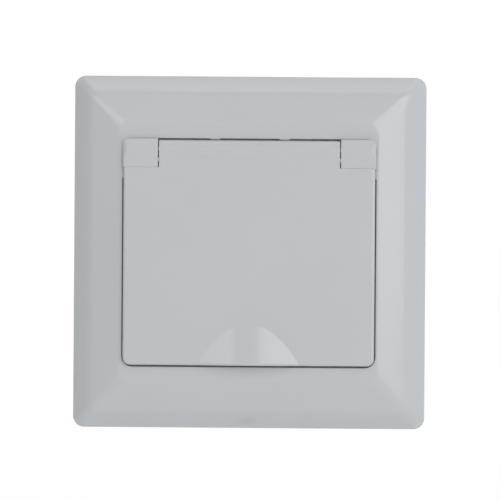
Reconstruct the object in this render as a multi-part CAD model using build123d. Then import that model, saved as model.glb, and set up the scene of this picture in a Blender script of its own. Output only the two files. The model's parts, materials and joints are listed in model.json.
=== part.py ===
from build123d import *
from math import atan2, cos, degrees, hypot, radians, sin, sqrt
import os

# Flush wall socket with a hinged lid, in millimetres.
# X runs to the right, Y into the wall and Z up. The wall plane is y = 0, and the
# origin is the middle of the wall-box screws on it. A depth is measured from the
# wall plane, positive towards the room (-Y) and negative inside the wall.

# Frame: a square bezel with a steep outer band and a gentle inner slope
FRAME_SIZE = 85.0
FRAME_CORNER_R = 3.0
FRAME_EDGE = 1.6
FRAME_WALL = 2.0
BAND_RUN = 4.0
BAND_RISE = 4.1
BAND_BULGE = 0.15
SLOPE_RISE = 2.8
SLOPE_BULGE = 0.34
MITRE_R = 3.0
OPENING_WIDTH = 61.4
OPENING_HEIGHT = 55.3
OPENING_R = 2.0
OPENING_EDGE = 0.3
LEDGE_WIDTH = 2.2
LEDGE_THICK = 1.5
LEDGE_DEPTH = 2.0
COLLAR_WALL = 1.8
FRAME_RIB = 1.2
NIB_WIDTH = 2.4
NIB_SPACING = 16.8
NIB_PROUD = 0.16
NIB_SETBACK = 0.5

# Centre plate: flange, plug well and hinge ears
PLATE_GAP = 0.06
SEAT_GAP = 0.05
FLANGE_THICK = 1.8
WELL_DIAMETER = 39.5
WELL_DEPTH = 17.5
WELL_WALL = 1.45
FLOOR_THICK = 2.0
PIN_SPACING = 19.0
PIN_HOLE_DIAMETER = 5.4
PIN_FUNNEL = 0.6
PIN_PASSAGE = 0.4
GUIDE_WIDTH = 4.4
GUIDE_HEIGHT = 2.2
GUIDE_SETBACK = 3.0
CLIP_POCKET_WIDTH = 8.0
CLIP_POCKET_OUT = 1.25
CLIP_POCKET_IN = 2.75
CLIP_POCKET_SETBACK = 3.3
CLIP_BOSS_WALL = 1.4

# Lid and its hinge
LID_PROUD = 1.5
LID_GAP = 0.34
LID_BOTTOM_GAP = 0.5
LID_PLATE = 1.8
LID_CORNER_R = 1.8
LID_EDGE_R = 0.6
RIM_WALL = 1.6
RIM_GAP = 0.2
LID_RING_DIAMETER = 35.6
LID_RING_WALL = 1.2
LID_RING_HEIGHT = 2.0
HINGE_TOP_GAP = 0.45
HINGE_SETBACK = 2.0
KNUCKLE_R = 2.3
TONGUE_WIDTH = 43.7
TONGUE_GAP = 0.25
TONGUE_TOP_R = 1.75
CROWN_PROUD = 0.25
CROWN_HALF = 1.9
EAR_TOP_R = 0.9
EAR_SIDE_R = 1.15
EAR_CORNER_R = 1.8
EAR_SHELF = 2.3
EAR_PAD_DROP = 2.0
EAR_PAD_HEIGHT = 0.85
EAR_PAD_SETBACK = 0.05
EAR_PAD_GAP = 0.05
SEAM_R = 4.7
SEAM_GAP = 0.03
SHELF_GAP = 0.2
HINGE_PIN_DIAMETER = 1.2
HINGE_PIN_END = 0.3
PIN_FIT = 0.05
SPRING_WIRE = 0.4
SPRING_TURNS = 7
SPRING_PITCH = 0.55
SPRING_ROOM = 0.25
SPRING_LID_LEAN = 8.0
SPRING_LID_LEG = 5.6
SPRING_FIXED_LEAN = 37.0
LOOP_START = 3.8
LOOP_LENGTH = 1.4
LOOP_HEIGHT = 1.3
LOOP_WIDTH = 2.0
LOOP_FIT = 0.12
GRIP_HEIGHT = 2.0
GRIP_LENGTH = 10.0
GRIP_HALF_WIDTH = 12.6
GRIP_EDGE_R = 0.5

# Support plate, wall-box screws and rivets
SUPPORT_MARGIN = 2.3
SUPPORT_THICK = 1.0
SUPPORT_CHAMFER = 12.0
SUPPORT_CLEAR = 0.4
BOX_SPACING = 60.0
BOX_SLOT_LENGTH = 6.4
BOX_SLOT_WIDTH = 3.6
RIVET_DIAMETER = 2.5
RIVET_HEAD_DIAMETER = 5.0
RIVET_HEAD = 0.9
RIVET_LENGTH = 8.0
RIVET_FIT = 0.05

# Socket base behind the wall plane
BASE_DIAMETER = 56.4
BASE_GAP = 0.2
BASE_FRONT_WALL = 2.0
LEG_INNER_DIAMETER = 47.2
LEG_WIDTH = 11.0
COVER_THICK = 1.65
COVER_WIDTH = 39.2
COVER_HEIGHT = 17.6
COVER_CORNER_R = 1.5
COVER_FIT = 0.15
COVER_SCREW_DIAMETER = 2.2
COVER_SCREW_HEAD = 4.0
COVER_SCREW_LENGTH = 7.0
COVER_SCREW_EDGE = 2.6
SCREW_SLOT = 0.7

# Pin contacts
STRIP = 0.8
CONTACT_FIT = 0.1
LEAF_PINCH = 2.35
LEAF_OPEN = 2.5
LEAF_MOUTH = 3.2
LEAF_INNER = 3.3
WEB_OFFSET = 3.0
LEAF_START = 0.6
LEAF_PINCH_DEPTH = 2.5
LEAF_LENGTH = 11.0
LEAF_ROOT = 3.7
CAVITY_SIDE = 0.6
SPRING_STRIP = 0.5
SPRING_WIDTH = 4.0
SPRING_DEPTH = 4.5
TAIL_DEPTH = 14.6
TAIL_WIDTH = 6.6
TERMINAL_Z = 15.0
EARTH_TERMINAL_Z = 18.0
TERMINAL_ROOM = 0.4
TERMINAL_PAD = 3.4
COLLAR_DIAMETER = 5.4
COLLAR_HEIGHT = 1.8
TERMINAL_SCREW_DIAMETER = 3.2
TERMINAL_SCREW_HEAD = 5.8
TERMINAL_HEAD_HEIGHT = 1.9
TERMINAL_SCREW_LENGTH = 4.6
THREAD_FIT = 0.05
CLAMP_SIZE = 7.0
CLAMP_THICK = 1.2
WIRE_DIAMETER = 2.8

# Earth strap and centre screw
STRAP_WIDTH = 7.0
STRAP_BEND_R = 1.0
STRAP_FIT = 0.25
CLIP_OUT = 0.05
CLIP_IN = 2.75
CLIP_TIP_SETBACK = 0.9
CLIP_CONTACT_DEPTH = 8.0
CLIP_BEND_DEPTH = 15.9
EARTH_FOOT = 5.6
EARTH_STRIP = 1.0
EARTH_LEG_Z = 14.1
EARTH_RIVET_DIAMETER = 2.4
EARTH_RIVET_HEAD = 0.75
CENTRE_SCREW_DIAMETER = 3.0
CENTRE_HEAD_DIAMETER = 5.8
CENTRE_SCREW_LENGTH = 9.0
CENTRE_HOLE_FIT = 0.2
CENTRE_NUT_DIAMETER = 5.2
CENTRE_NUT_LENGTH = 7.0

# Claws
CLAW_CLEAR = 3.8
CLAW_SCREW_DIAMETER = 3.5
CLAW_HEAD_DIAMETER = 6.0
CLAW_HOLE_DIAMETER = 4.9
CLAW_SEAT_GAP = 0.1
CLAW_SCREW_TIP = 27.0
CLAW_TAB_DEPTH = 22.5
CLAW_TAB_THICK = 2.0
CLAW_TAB_OUT = 4.4
CLAW_WIDTH = 9.0
CLAW_LEG_THICK = 1.2
CLAW_LEG_GAP = 0.3
CLAW_LEG_ROOM = 0.9
CLAW_LEG_SETBACK = 0.7
CLAW_TOOTH = 1.2
CLAW_TEETH = 3

# Worked out from the sizes above
slope_run = (FRAME_SIZE - OPENING_WIDTH) / 2 - BAND_RUN
frame_front = FRAME_EDGE + BAND_RISE + SLOPE_RISE
opening_top = OPENING_HEIGHT / 2
ledge_front = LEDGE_DEPTH + LEDGE_THICK
flange_back = ledge_front + SEAT_GAP
flange_front = flange_back + FLANGE_THICK
well_r = WELL_DIAMETER / 2
tub_r = well_r + WELL_WALL
floor_front = flange_front - WELL_DEPTH
floor_back = floor_front - FLOOR_THICK
pocket_out = well_r + CLIP_POCKET_OUT
pocket_in = well_r - CLIP_POCKET_IN
boss_out = pocket_out + CLIP_BOSS_WALL
lid_front = frame_front + LID_PROUD
lid_inner = lid_front - LID_PLATE
lid_half = OPENING_WIDTH / 2 - LID_GAP
lid_bottom = LID_BOTTOM_GAP - OPENING_HEIGHT / 2
axis_z = opening_top - HINGE_TOP_GAP - KNUCKLE_R
axis_depth = lid_front - HINGE_SETBACK
tongue_half = TONGUE_WIDTH / 2
tongue_top = axis_z + KNUCKLE_R
plate_half = OPENING_WIDTH / 2 - PLATE_GAP
plate_top = opening_top - PLATE_GAP
shelf_front = lid_inner - SHELF_GAP
shelf_low = axis_z - SEAM_R - EAR_SHELF
pin_r = HINGE_PIN_DIAMETER / 2
pin_reach = plate_half - HINGE_PIN_END
coil_r = pin_r + PIN_FIT + SPRING_ROOM / 2 + SPRING_WIRE / 2
coil_turns = SPRING_TURNS - (SPRING_FIXED_LEAN - SPRING_LID_LEAN) / 360
coil_half = coil_turns * SPRING_PITCH / 2
base_front = floor_back - BASE_GAP
base_r = BASE_DIAMETER / 2
leg_r = (base_r + LEG_INNER_DIAMETER / 2) / 2
claw_x = tub_r + CLAW_CLEAR
claw_leg_in = claw_x - CLAW_SCREW_DIAMETER / 2 - CLAW_LEG_ROOM - CLAW_LEG_THICK
base_half = claw_leg_in - CLAW_LEG_GAP
support_size = BOX_SPACING + BOX_SLOT_LENGTH + 2 * SUPPORT_MARGIN
claw_pivot = SUPPORT_THICK + sqrt(
    (CLAW_HEAD_DIAMETER / 2) ** 2 - (CLAW_HOLE_DIAMETER / 2 - CLAW_SEAT_GAP) ** 2
)
pin_x = PIN_SPACING / 2
web_in = pin_x + WEB_OFFSET
web_out = web_in + STRIP
terminal_x = web_in + TAIL_WIDTH / 2
cavity_front = base_front - BASE_FRONT_WALL
leaf_front = cavity_front - LEAF_START
leaf_reach = max(LEAF_MOUTH, LEAF_OPEN + SPRING_STRIP + CONTACT_FIT) + STRIP
cavity_half = leaf_reach + CAVITY_SIDE
tail_front = base_front - TAIL_DEPTH
tail_back = tail_front - STRIP
strap_front = base_front - BASE_GAP
strap_mid = strap_front - STRIP / 2
strap_back = strap_front - STRIP
strap_out = well_r + CLIP_OUT
earth_rivet_z = EARTH_LEG_Z - (EARTH_STRIP + EARTH_FOOT) / 2
clamp_front = tail_back - SEAT_GAP
clamp_back = clamp_front - CLAMP_THICK
head_front = clamp_back - SEAT_GAP
base_rear = head_front - TERMINAL_HEAD_HEIGHT
cover_front = base_rear + COVER_THICK
cover_screw_z = COVER_HEIGHT / 2 - COVER_SCREW_EDGE
OVERCUT = 1.0
TOUCH = 0.01


def prism(sketch, back, front):
    """Extrude a front-view sketch (x, z) between two depths."""
    return extrude(Plane.XZ.offset(back) * sketch, amount=front - back)


def across(sketch, left, right):
    """Extrude a side-view sketch (z, depth) from left to right."""
    plane = Plane(origin=(left, 0, 0), x_dir=(0, 0, 1), z_dir=(1, 0, 0))
    return extrude(plane * sketch, amount=right - left)


def upright(sketch, low, high):
    """Extrude a plan-view sketch (x, depth) from low to high."""
    plane = Plane(origin=(0, 0, high), x_dir=(1, 0, 0), z_dir=(0, 0, -1))
    return extrude(plane * sketch, amount=high - low)


def block(x0, x1, z0, z1, back, front):
    """A box between two corners, by x, z and depth."""
    centre = Pos((x0 + x1) / 2, (z0 + z1) / 2)
    return prism(centre * Rectangle(x1 - x0, z1 - z0), back, front)


def rect(u0, u1, v0, v1):
    """A rectangle sketch between two corners."""
    return Pos((u0 + u1) / 2, (v0 + v1) / 2) * Rectangle(u1 - u0, v1 - v0)


def sink(x, z, depth, outer_r, inner_r):
    """A 45 degree countersink that opens towards the room at a depth."""
    mouth = Plane.XZ.offset(depth) * (Pos(x, z) * Circle(outer_r))
    return extrude(mouth, amount=inner_r - outer_r, taper=45)


def bulged(start, end, bulge):
    """An arc from start to end that bulges to the left of its chord."""
    dx, dy = end[0] - start[0], end[1] - start[1]
    length = hypot(dx, dy)
    middle = ((start[0] + end[0]) / 2, (start[1] + end[1]) / 2)
    crest = (middle[0] - dy / length * bulge, middle[1] + dx / length * bulge)
    return ThreePointArc(start, crest, end)


def both_sides(piece):
    """A piece and its mirror image left of the middle."""
    return [piece, mirror(piece, about=Plane.YZ)]


def bezel_form(lower):
    """The bezel's form, wider than the frame all round, and sunk by a wall to make its hollow."""
    half = FRAME_SIZE / 2
    skirt = half + OVERCUT
    foot = -lower - 2 * OVERCUT
    edge = (-skirt, FRAME_EDGE - lower - OVERCUT * BAND_RISE / BAND_RUN)
    band = (-half + BAND_RUN, FRAME_EDGE + BAND_RISE - lower)
    rim = (-half + BAND_RUN + slope_run, frame_front - lower)
    outline = [
        Line((skirt, foot), (-skirt, foot)),
        Line((-skirt, foot), edge),
        bulged(edge, band, BAND_BULGE),
        bulged(band, rim, SLOPE_BULGE),
        Line(rim, (-rim[0], rim[1])),
        bulged((-rim[0], rim[1]), (-band[0], band[1]), SLOPE_BULGE),
        bulged((-band[0], band[1]), (-edge[0], edge[1]), BAND_BULGE),
        Line((-edge[0], edge[1]), (skirt, foot)),
    ]
    section = make_face(outline)
    return across(section, -skirt, skirt) & upright(section, -skirt, skirt)


def opening_sketch(grow):
    """The frame's rectangular opening, grown or shrunk all round."""
    width, height = OPENING_WIDTH + 2 * grow, OPENING_HEIGHT + 2 * grow
    return RectangleRounded(width, height, max(OPENING_R + grow, TOUCH))


def frame():
    outer = prism(RectangleRounded(FRAME_SIZE, FRAME_SIZE, FRAME_CORNER_R), 0, lid_front)
    inner_size = FRAME_SIZE - 2 * FRAME_WALL
    inner = prism(Rectangle(inner_size, inner_size), -OVERCUT, lid_front)
    form = bezel_form(0)
    mitres = [e for e in form.edges() if is_mitre(e)]
    form = fillet(mitres, MITRE_R) & outer
    ribs = Rectangle(FRAME_SIZE, FRAME_RIB) + Rectangle(FRAME_RIB, FRAME_SIZE)
    for angle in (45, -45):
        ribs += Rot(0, 0, angle) * Rectangle(2 * FRAME_SIZE, FRAME_RIB)
    hollow = bezel_form(FRAME_WALL) & inner
    hollow -= prism(opening_sketch(COLLAR_WALL), LEDGE_DEPTH, lid_front)
    hollow -= prism(ribs, LEDGE_DEPTH, lid_front)
    body = form - hollow
    body -= prism(opening_sketch(0), ledge_front, lid_front)
    body -= prism(opening_sketch(-LEDGE_WIDTH), -OVERCUT, lid_front)
    mouth = Plane.XZ.offset(frame_front - OPENING_EDGE) * opening_sketch(0)
    body -= extrude(mouth, amount=2 * OPENING_EDGE, taper=-45)
    for side in (-1, 1):
        x = side * NIB_SPACING / 2
        low, high = opening_top - NIB_PROUD, opening_top + COLLAR_WALL / 2
        body += block(
            x - NIB_WIDTH / 2,
            x + NIB_WIDTH / 2,
            low,
            high,
            flange_front + SEAT_GAP,
            frame_front - NIB_SETBACK,
        )
    return body


def is_mitre(edge):
    """True for the diagonal edges where two slopes of the bezel meet."""
    centre = edge.center()
    diagonal = abs(abs(centre.X) - abs(centre.Z)) < TOUCH
    inside = abs(centre.X) < FRAME_SIZE / 2 - TOUCH
    return diagonal and inside and edge.bounding_box().size.Y > TOUCH


def hinge_profile(top, corner_r, back):
    """Side view of the hinge's barrel face: flat front, shallow crown and rounded top."""
    crown_r = (CROWN_HALF**2 + CROWN_PROUD**2) / (2 * CROWN_PROUD)
    crown = Pos(axis_z, lid_front + CROWN_PROUD - crown_r) * Circle(crown_r)
    low = axis_z - SEAM_R - EAR_SHELF
    peak = lid_front + CROWN_PROUD
    flat = rect(low, top, back, lid_front)
    raised = crown & rect(axis_z - CROWN_HALF, top, lid_front - OVERCUT, peak)
    corner = [
        Line((low, back), (low, peak)),
        Line((low, peak), (top - corner_r, peak)),
        CenterArc((top - corner_r, peak - corner_r), corner_r, 0, 90),
        Line((top, peak - corner_r), (top, back)),
        Line((top, back), (low, back)),
    ]
    return (flat + raised) & make_face(corner)


def ear():
    """Right hinge ear: flush front above the seam, and a shelf under the lid's wing."""
    inner, outer = tongue_half + TONGUE_GAP, plate_half
    profile = hinge_profile(plate_top, EAR_TOP_R, flange_back)
    wing = rect(shelf_low - OVERCUT, axis_z, shelf_front, lid_front + OVERCUT)
    profile -= wing - Pos(axis_z, axis_depth) * Circle(SEAM_R)
    body = across(profile, inner, outer)
    peak = lid_front + CROWN_PROUD
    plan = [
        Line((inner, flange_back), (inner, peak)),
        Line((inner, peak), (outer - EAR_SIDE_R, peak)),
        CenterArc((outer - EAR_SIDE_R, peak - EAR_SIDE_R), EAR_SIDE_R, 0, 90),
        Line((outer, peak - EAR_SIDE_R), (outer, flange_back)),
        Line((outer, flange_back), (inner, flange_back)),
    ]
    body &= upright(make_face(plan), shelf_low - OVERCUT, plate_top)
    front = RectangleRounded(2 * plate_half, 2 * plate_top, EAR_CORNER_R)
    return (body & prism(front, flange_back, peak)) + ear_pad()


def ear_pad():
    """Small pad on the ear's inner face that keeps the lid's tongue in the middle."""
    inner = tongue_half + EAR_PAD_GAP
    high = axis_z - EAR_PAD_DROP
    front = lid_front - EAR_PAD_SETBACK
    return block(inner, tongue_half + 2 * TONGUE_GAP, high - EAR_PAD_HEIGHT, high, axis_depth, front)


def well_cut():
    """The plug well with its two guide ribs, clip pockets, pin holes and screw hole."""
    cut = prism(Circle(well_r), floor_front, flange_front + OVERCUT)
    guide = rect(well_r - GUIDE_HEIGHT, tub_r, -GUIDE_WIDTH / 2, GUIDE_WIDTH / 2)
    for rib in both_sides(prism(guide, floor_front, flange_front - GUIDE_SETBACK)):
        cut -= rib
    half = CLIP_POCKET_WIDTH / 2
    pocket_front = flange_front - CLIP_POCKET_SETBACK
    for low, high in ((pocket_in, pocket_out), (-pocket_out, -pocket_in)):
        cut += block(-half, half, low, high, floor_back - OVERCUT, pocket_front)
    hole_r = PIN_HOLE_DIAMETER / 2
    for x in (-pin_x, pin_x):
        cut += prism(Pos(x, 0) * Circle(hole_r), floor_back - OVERCUT, floor_front)
        cut += sink(x, 0, floor_front, hole_r + PIN_FUNNEL, hole_r)
    screw_hole_r = CENTRE_SCREW_DIAMETER / 2 + CENTRE_HOLE_FIT
    cut += prism(Circle(screw_hole_r), floor_back - OVERCUT, floor_front)
    cut += sink(0, 0, floor_front, CENTRE_HEAD_DIAMETER / 2 + CENTRE_HOLE_FIT, screw_hole_r)
    return cut


def centre_plate():
    body = prism(opening_sketch(-PLATE_GAP), flange_back, flange_front)
    body += prism(Circle(tub_r), floor_back, flange_back + FLANGE_THICK / 2)
    half = CLIP_POCKET_WIDTH / 2 + CLIP_BOSS_WALL
    body += block(-half, half, -boss_out, boss_out, floor_back, flange_back + FLANGE_THICK / 2)
    body -= well_cut()
    for side in both_sides(ear()):
        body += side
    bore = Pos(axis_z, axis_depth) * Circle(pin_r + PIN_FIT)
    return body - across(bore, -pin_reach - PIN_FIT, plate_half + OVERCUT)


def grip():
    """Thumb grip: a slice of a large cylinder that rises towards the lid's lower edge."""
    radius = (GRIP_HALF_WIDTH**2 + GRIP_HEIGHT**2) / (2 * GRIP_HEIGHT)
    lean = degrees(atan2(GRIP_HEIGHT, GRIP_LENGTH))
    apex_z = lid_bottom + GRIP_LENGTH
    drum = Rot(-lean, 0, 0) * Pos(0, radius, 0) * Cylinder(radius, 4 * GRIP_LENGTH)
    drum = Pos(0, -lid_front, apex_z) * drum
    reach = lid_front + GRIP_HEIGHT + OVERCUT
    body = drum & block(-lid_half, lid_half, lid_bottom, apex_z, lid_inner, reach)
    low_front = body.edges().filter_by(lambda e: is_grip_edge(e))
    return fillet(low_front, GRIP_EDGE_R)


def is_grip_edge(edge):
    """True for the grip's curved lower front edge."""
    box = edge.bounding_box()
    level = box.max.Z < lid_bottom + TOUCH
    return level and box.size.X > GRIP_HALF_WIDTH and box.size.Y > GRIP_HEIGHT / 2


def lid_plate():
    """The lid's flat front with its rim, cut back at the hinge to clear the ears."""
    outline = rect(-lid_half, lid_half, lid_bottom, axis_z)
    lower = outline.vertices().group_by(Axis.Y)[0]
    outline = fillet(lower, LID_CORNER_R)
    slab = prism(outline, flange_front + RIM_GAP, lid_front)
    front_edges = [e for e in slab.edges() if is_front_edge(e)]
    slab = fillet(front_edges, LID_EDGE_R)
    inner_half = lid_half - RIM_WALL
    hollow = rect(-inner_half, inner_half, lid_bottom + RIM_WALL, axis_z + OVERCUT)
    slab -= prism(hollow, flange_front - OVERCUT, lid_inner)
    shelf_side = shelf_low - SHELF_GAP
    slab -= block(-lid_half - OVERCUT, lid_half + OVERCUT, shelf_side, axis_z + OVERCUT, 0, lid_inner)
    seam = Pos(axis_z, axis_depth) * Circle(SEAM_R + SEAM_GAP)
    for cut in both_sides(across(seam, tongue_half, lid_half + OVERCUT)):
        slab -= cut
    return slab


def is_front_edge(edge):
    """True for the lid's front edges, except the one at the hinge."""
    box = edge.bounding_box()
    flush = box.max.Y < -lid_front + TOUCH
    return flush and box.min.Z < axis_z - TOUCH


def lid():
    body = lid_plate() + grip()
    ring_r = LID_RING_DIAMETER / 2
    ring = Circle(ring_r) - Circle(ring_r - LID_RING_WALL)
    body += prism(ring, lid_inner - LID_RING_HEIGHT, lid_inner + LID_PLATE / 2)
    barrel = Pos(axis_z, axis_depth) * Circle(KNUCKLE_R)
    face = hinge_profile(tongue_top, TONGUE_TOP_R, axis_depth)
    face &= rect(axis_z - KNUCKLE_R, tongue_top, axis_depth, lid_front + CROWN_PROUD)
    body += across(barrel + face, -tongue_half, tongue_half)
    room = coil_r + SPRING_WIRE / 2 + SPRING_ROOM
    notch = Pos(axis_z, axis_depth) * Circle(room)
    notch += rect(axis_z - KNUCKLE_R - OVERCUT, axis_z + room, flange_front, axis_depth)
    notch_half = coil_half + SPRING_WIRE + SPRING_ROOM
    body -= across(notch, -notch_half, notch_half)
    bore = Pos(axis_z, axis_depth) * Circle(pin_r + PIN_FIT)
    return body - across(bore, -lid_half, lid_half) + spring_loop()


def hinge_pin():
    return across(Pos(axis_z, axis_depth) * Circle(pin_r), -pin_reach, pin_reach)


def spring_coil():
    """Centre line of the closing spring's coil, from the lid's leg to the fixed leg."""
    return Helix(SPRING_PITCH, 2 * coil_half, coil_r)


def on_hinge(piece):
    """Put a spring piece on the hinge axis, with its first turn behind the axis."""
    lean = radians(SPRING_LID_LEAN)
    seat = Plane(
        origin=(-coil_half, -axis_depth, axis_z),
        x_dir=(0, cos(lean), -sin(lean)),
        z_dir=(1, 0, 0),
    )
    return seat.location * piece


def spring_lid_leg(radius):
    """The leg that pulls on the lid, running down from the back of the coil."""
    coil = spring_coil()
    disc = Plane(origin=coil @ 0, z_dir=-(coil % 0)) * Circle(radius)
    return extrude(disc, amount=SPRING_LID_LEG)


def lid_spring():
    """Closing spring: one leg in the lid's loop, and one that leans on the flange."""
    coil = spring_coil()
    wire_r = SPRING_WIRE / 2
    section = Plane(origin=coil @ 0, z_dir=coil % 0) * Circle(wire_r)
    lean = radians(SPRING_FIXED_LEAN)
    reach = axis_depth - flange_front - SEAT_GAP - (coil_r + wire_r) * cos(lean)
    disc = Plane(origin=coil @ 1, z_dir=coil % 1) * Circle(wire_r)
    body = sweep(section, path=coil, is_frenet=True)
    body += extrude(disc, amount=reach / sin(lean))
    return on_hinge(body + spring_lid_leg(wire_r))


def spring_loop():
    """Small loop under the lid that holds the spring's leg."""
    leg = on_hinge(spring_lid_leg(SPRING_WIRE / 2 + LOOP_FIT))
    x = leg.bounding_box().center().X
    top = axis_z - LOOP_START
    lug = block(
        x - LOOP_WIDTH / 2,
        x + LOOP_WIDTH / 2,
        top - LOOP_LENGTH,
        top,
        lid_inner - LOOP_HEIGHT,
        lid_inner + LID_PLATE / 2,
    )
    return lug - leg


def rivet_places():
    """The four diagonal places where the support plate is riveted to the base."""
    step = leg_r / sqrt(2)
    return [(sx * step, sz * step) for sx in (-1, 1) for sz in (-1, 1)]


def support_plate():
    outline = Rectangle(support_size, support_size)
    outline = chamfer(outline.vertices(), SUPPORT_CHAMFER)
    outline -= Circle(tub_r + SUPPORT_CLEAR)
    half = CLIP_POCKET_WIDTH / 2 + CLIP_BOSS_WALL + SUPPORT_CLEAR
    reach = boss_out + SUPPORT_CLEAR
    outline -= rect(-half, half, -reach, reach)
    for side in (-1, 1):
        slot = Rot(0, 0, 90) * SlotOverall(BOX_SLOT_LENGTH, BOX_SLOT_WIDTH)
        outline -= Pos(0, side * BOX_SPACING / 2) * slot
        outline -= Pos(side * claw_x, 0) * Circle(CLAW_HOLE_DIAMETER / 2)
    for x, z in rivet_places():
        outline -= Pos(x, z) * Circle(RIVET_DIAMETER / 2 + RIVET_FIT)
    return prism(outline, 0, SUPPORT_THICK)


def plate_rivets():
    rivets = []
    for x, z in rivet_places():
        head_back = SUPPORT_THICK + SEAT_GAP
        rivet = prism(Pos(x, z) * Circle(RIVET_DIAMETER / 2), -RIVET_LENGTH, head_back)
        head = prism(Pos(x, z) * Circle(RIVET_HEAD_DIAMETER / 2), head_back, head_back + RIVET_HEAD)
        head = fillet(head.edges().group_by(Axis.Y)[0], RIVET_HEAD / 2)
        rivets.append(rivet + head)
    return Compound(rivets)


def contact_chambers():
    """Space in the base for one pin contact, with its tail and terminal."""
    x_in = pin_x - LEAF_INNER - CAVITY_SIDE
    x_out = web_out + SPRING_STRIP + CAVITY_SIDE
    rear = base_rear - OVERCUT
    cut = block(x_in, x_out, -cavity_half, cavity_half, rear, cavity_front)
    low = -TERMINAL_Z - TERMINAL_PAD - TERMINAL_ROOM
    half = CLAMP_SIZE / 2 + TERMINAL_ROOM
    left, right = terminal_x - half, terminal_x + half
    cut += block(left, right, low, cavity_half, rear, tail_front + CONTACT_FIT)
    passage = Circle(PIN_HOLE_DIAMETER / 2 + PIN_PASSAGE)
    cut += prism(Pos(pin_x, 0) * passage, cavity_front, base_front + OVERCUT)
    return cut + terminal_well(terminal_x, -TERMINAL_Z, -1)


def terminal_well(x, z, way):
    """Hole for a terminal's collar and screw, and two wire channels out of the base."""
    collar_r = COLLAR_DIAMETER / 2 + STRAP_FIT
    floor = head_front + TERMINAL_SCREW_LENGTH + OVERCUT
    cut = prism(Pos(x, z) * Circle(collar_r), tail_front, floor)
    wire_r = WIRE_DIAMETER / 2
    gap = TERMINAL_SCREW_DIAMETER / 2 + wire_r
    edge = way * base_r
    low, high = min(z, edge), max(z, edge)
    for offset in (-gap, gap):
        line = x + offset
        cut += block(line - wire_r, line + wire_r, low, high, base_rear - OVERCUT, clamp_front)
    return cut


def earth_chambers():
    """Groove for the earth strap, and the space for its tail and terminal."""
    half = STRAP_WIDTH / 2 + STRAP_FIT
    reach = strap_out + STRIP + STRAP_FIT
    cut = block(-half, half, -reach, reach, strap_back - SEAT_GAP, base_front + OVERCUT)
    foot_low = EARTH_LEG_Z - EARTH_STRIP / 2 - EARTH_FOOT
    foot_back = strap_back - SEAT_GAP - EARTH_STRIP - EARTH_RIVET_HEAD - STRAP_FIT
    leg_high = EARTH_LEG_Z + EARTH_STRIP / 2 + STRAP_FIT
    cut += block(-half, half, foot_low, leg_high, foot_back, base_front)
    leg_low = EARTH_LEG_Z - EARTH_STRIP / 2 - STRAP_FIT
    rear = base_rear - OVERCUT
    cut += block(-half, half, leg_low, leg_high, rear, base_front)
    pad_half = CLAMP_SIZE / 2 + TERMINAL_ROOM
    pad_high = EARTH_TERMINAL_Z + TERMINAL_PAD + TERMINAL_ROOM
    cut += block(-pad_half, pad_half, leg_low, pad_high, rear, tail_front + CONTACT_FIT)
    return cut + terminal_well(0, EARTH_TERMINAL_Z, 1)


def socket_base():
    width = 2 * base_half
    body = prism(Circle(base_r) & Rectangle(width, BASE_DIAMETER), base_rear, base_front)
    ring = Circle(base_r) - Circle(LEG_INNER_DIAMETER / 2)
    arms = Rot(0, 0, 45) * Rectangle(2 * BASE_DIAMETER, LEG_WIDTH)
    arms += Rot(0, 0, -45) * Rectangle(2 * BASE_DIAMETER, LEG_WIDTH)
    legs = ring & arms & Rectangle(width, BASE_DIAMETER)
    body += prism(legs, base_rear, -SEAT_GAP)
    for chambers in both_sides(contact_chambers()):
        body -= chambers
    body -= earth_chambers()
    grow = 2 * COVER_FIT
    recess = RectangleRounded(COVER_WIDTH + grow, COVER_HEIGHT + grow, COVER_CORNER_R)
    body -= prism(recess, base_rear - OVERCUT, cover_front + SEAT_GAP)
    for x, z in rivet_places():
        body -= prism(Pos(x, z) * Circle(RIVET_DIAMETER / 2 + RIVET_FIT), -RIVET_LENGTH - OVERCUT, 0)
    nut_r = CENTRE_NUT_DIAMETER / 2 + RIVET_FIT
    nut_back = strap_back - SEAT_GAP - CENTRE_NUT_LENGTH - OVERCUT
    body -= prism(Circle(nut_r), nut_back, base_front)
    screw_r = COVER_SCREW_DIAMETER / 2 + THREAD_FIT
    for z in (-cover_screw_z, cover_screw_z):
        tip = base_rear + COVER_SCREW_LENGTH + OVERCUT
        body -= prism(Pos(0, z) * Circle(screw_r), base_rear, tip)
    return body


def rear_cover():
    body = prism(RectangleRounded(COVER_WIDTH, COVER_HEIGHT, COVER_CORNER_R), base_rear, cover_front)
    hole_r = COVER_SCREW_DIAMETER / 2 + RIVET_FIT
    head_r = COVER_SCREW_HEAD / 2 + RIVET_FIT
    for z in (-cover_screw_z, cover_screw_z):
        body -= prism(Pos(0, z) * Circle(hole_r), base_rear, cover_front)
        mouth = Plane.XZ.offset(base_rear) * (Pos(0, z) * Circle(head_r))
        body -= extrude(mouth, amount=head_r - hole_r, taper=45)
    return body


def cover_screws():
    screws = []
    shank_r, head_r = COVER_SCREW_DIAMETER / 2, COVER_SCREW_HEAD / 2
    for z in (-cover_screw_z, cover_screw_z):
        mouth = Plane.XZ.offset(base_rear) * (Pos(0, z) * Circle(head_r))
        screw = extrude(mouth, amount=head_r - shank_r, taper=45)
        screw += prism(Pos(0, z) * Circle(shank_r), base_rear, base_rear + COVER_SCREW_LENGTH)
        slot = rect(-head_r, head_r, z - SCREW_SLOT / 2, z + SCREW_SLOT / 2)
        screws.append(screw - prism(slot, base_rear, base_rear + SCREW_SLOT))
    return Compound(screws)


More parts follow.
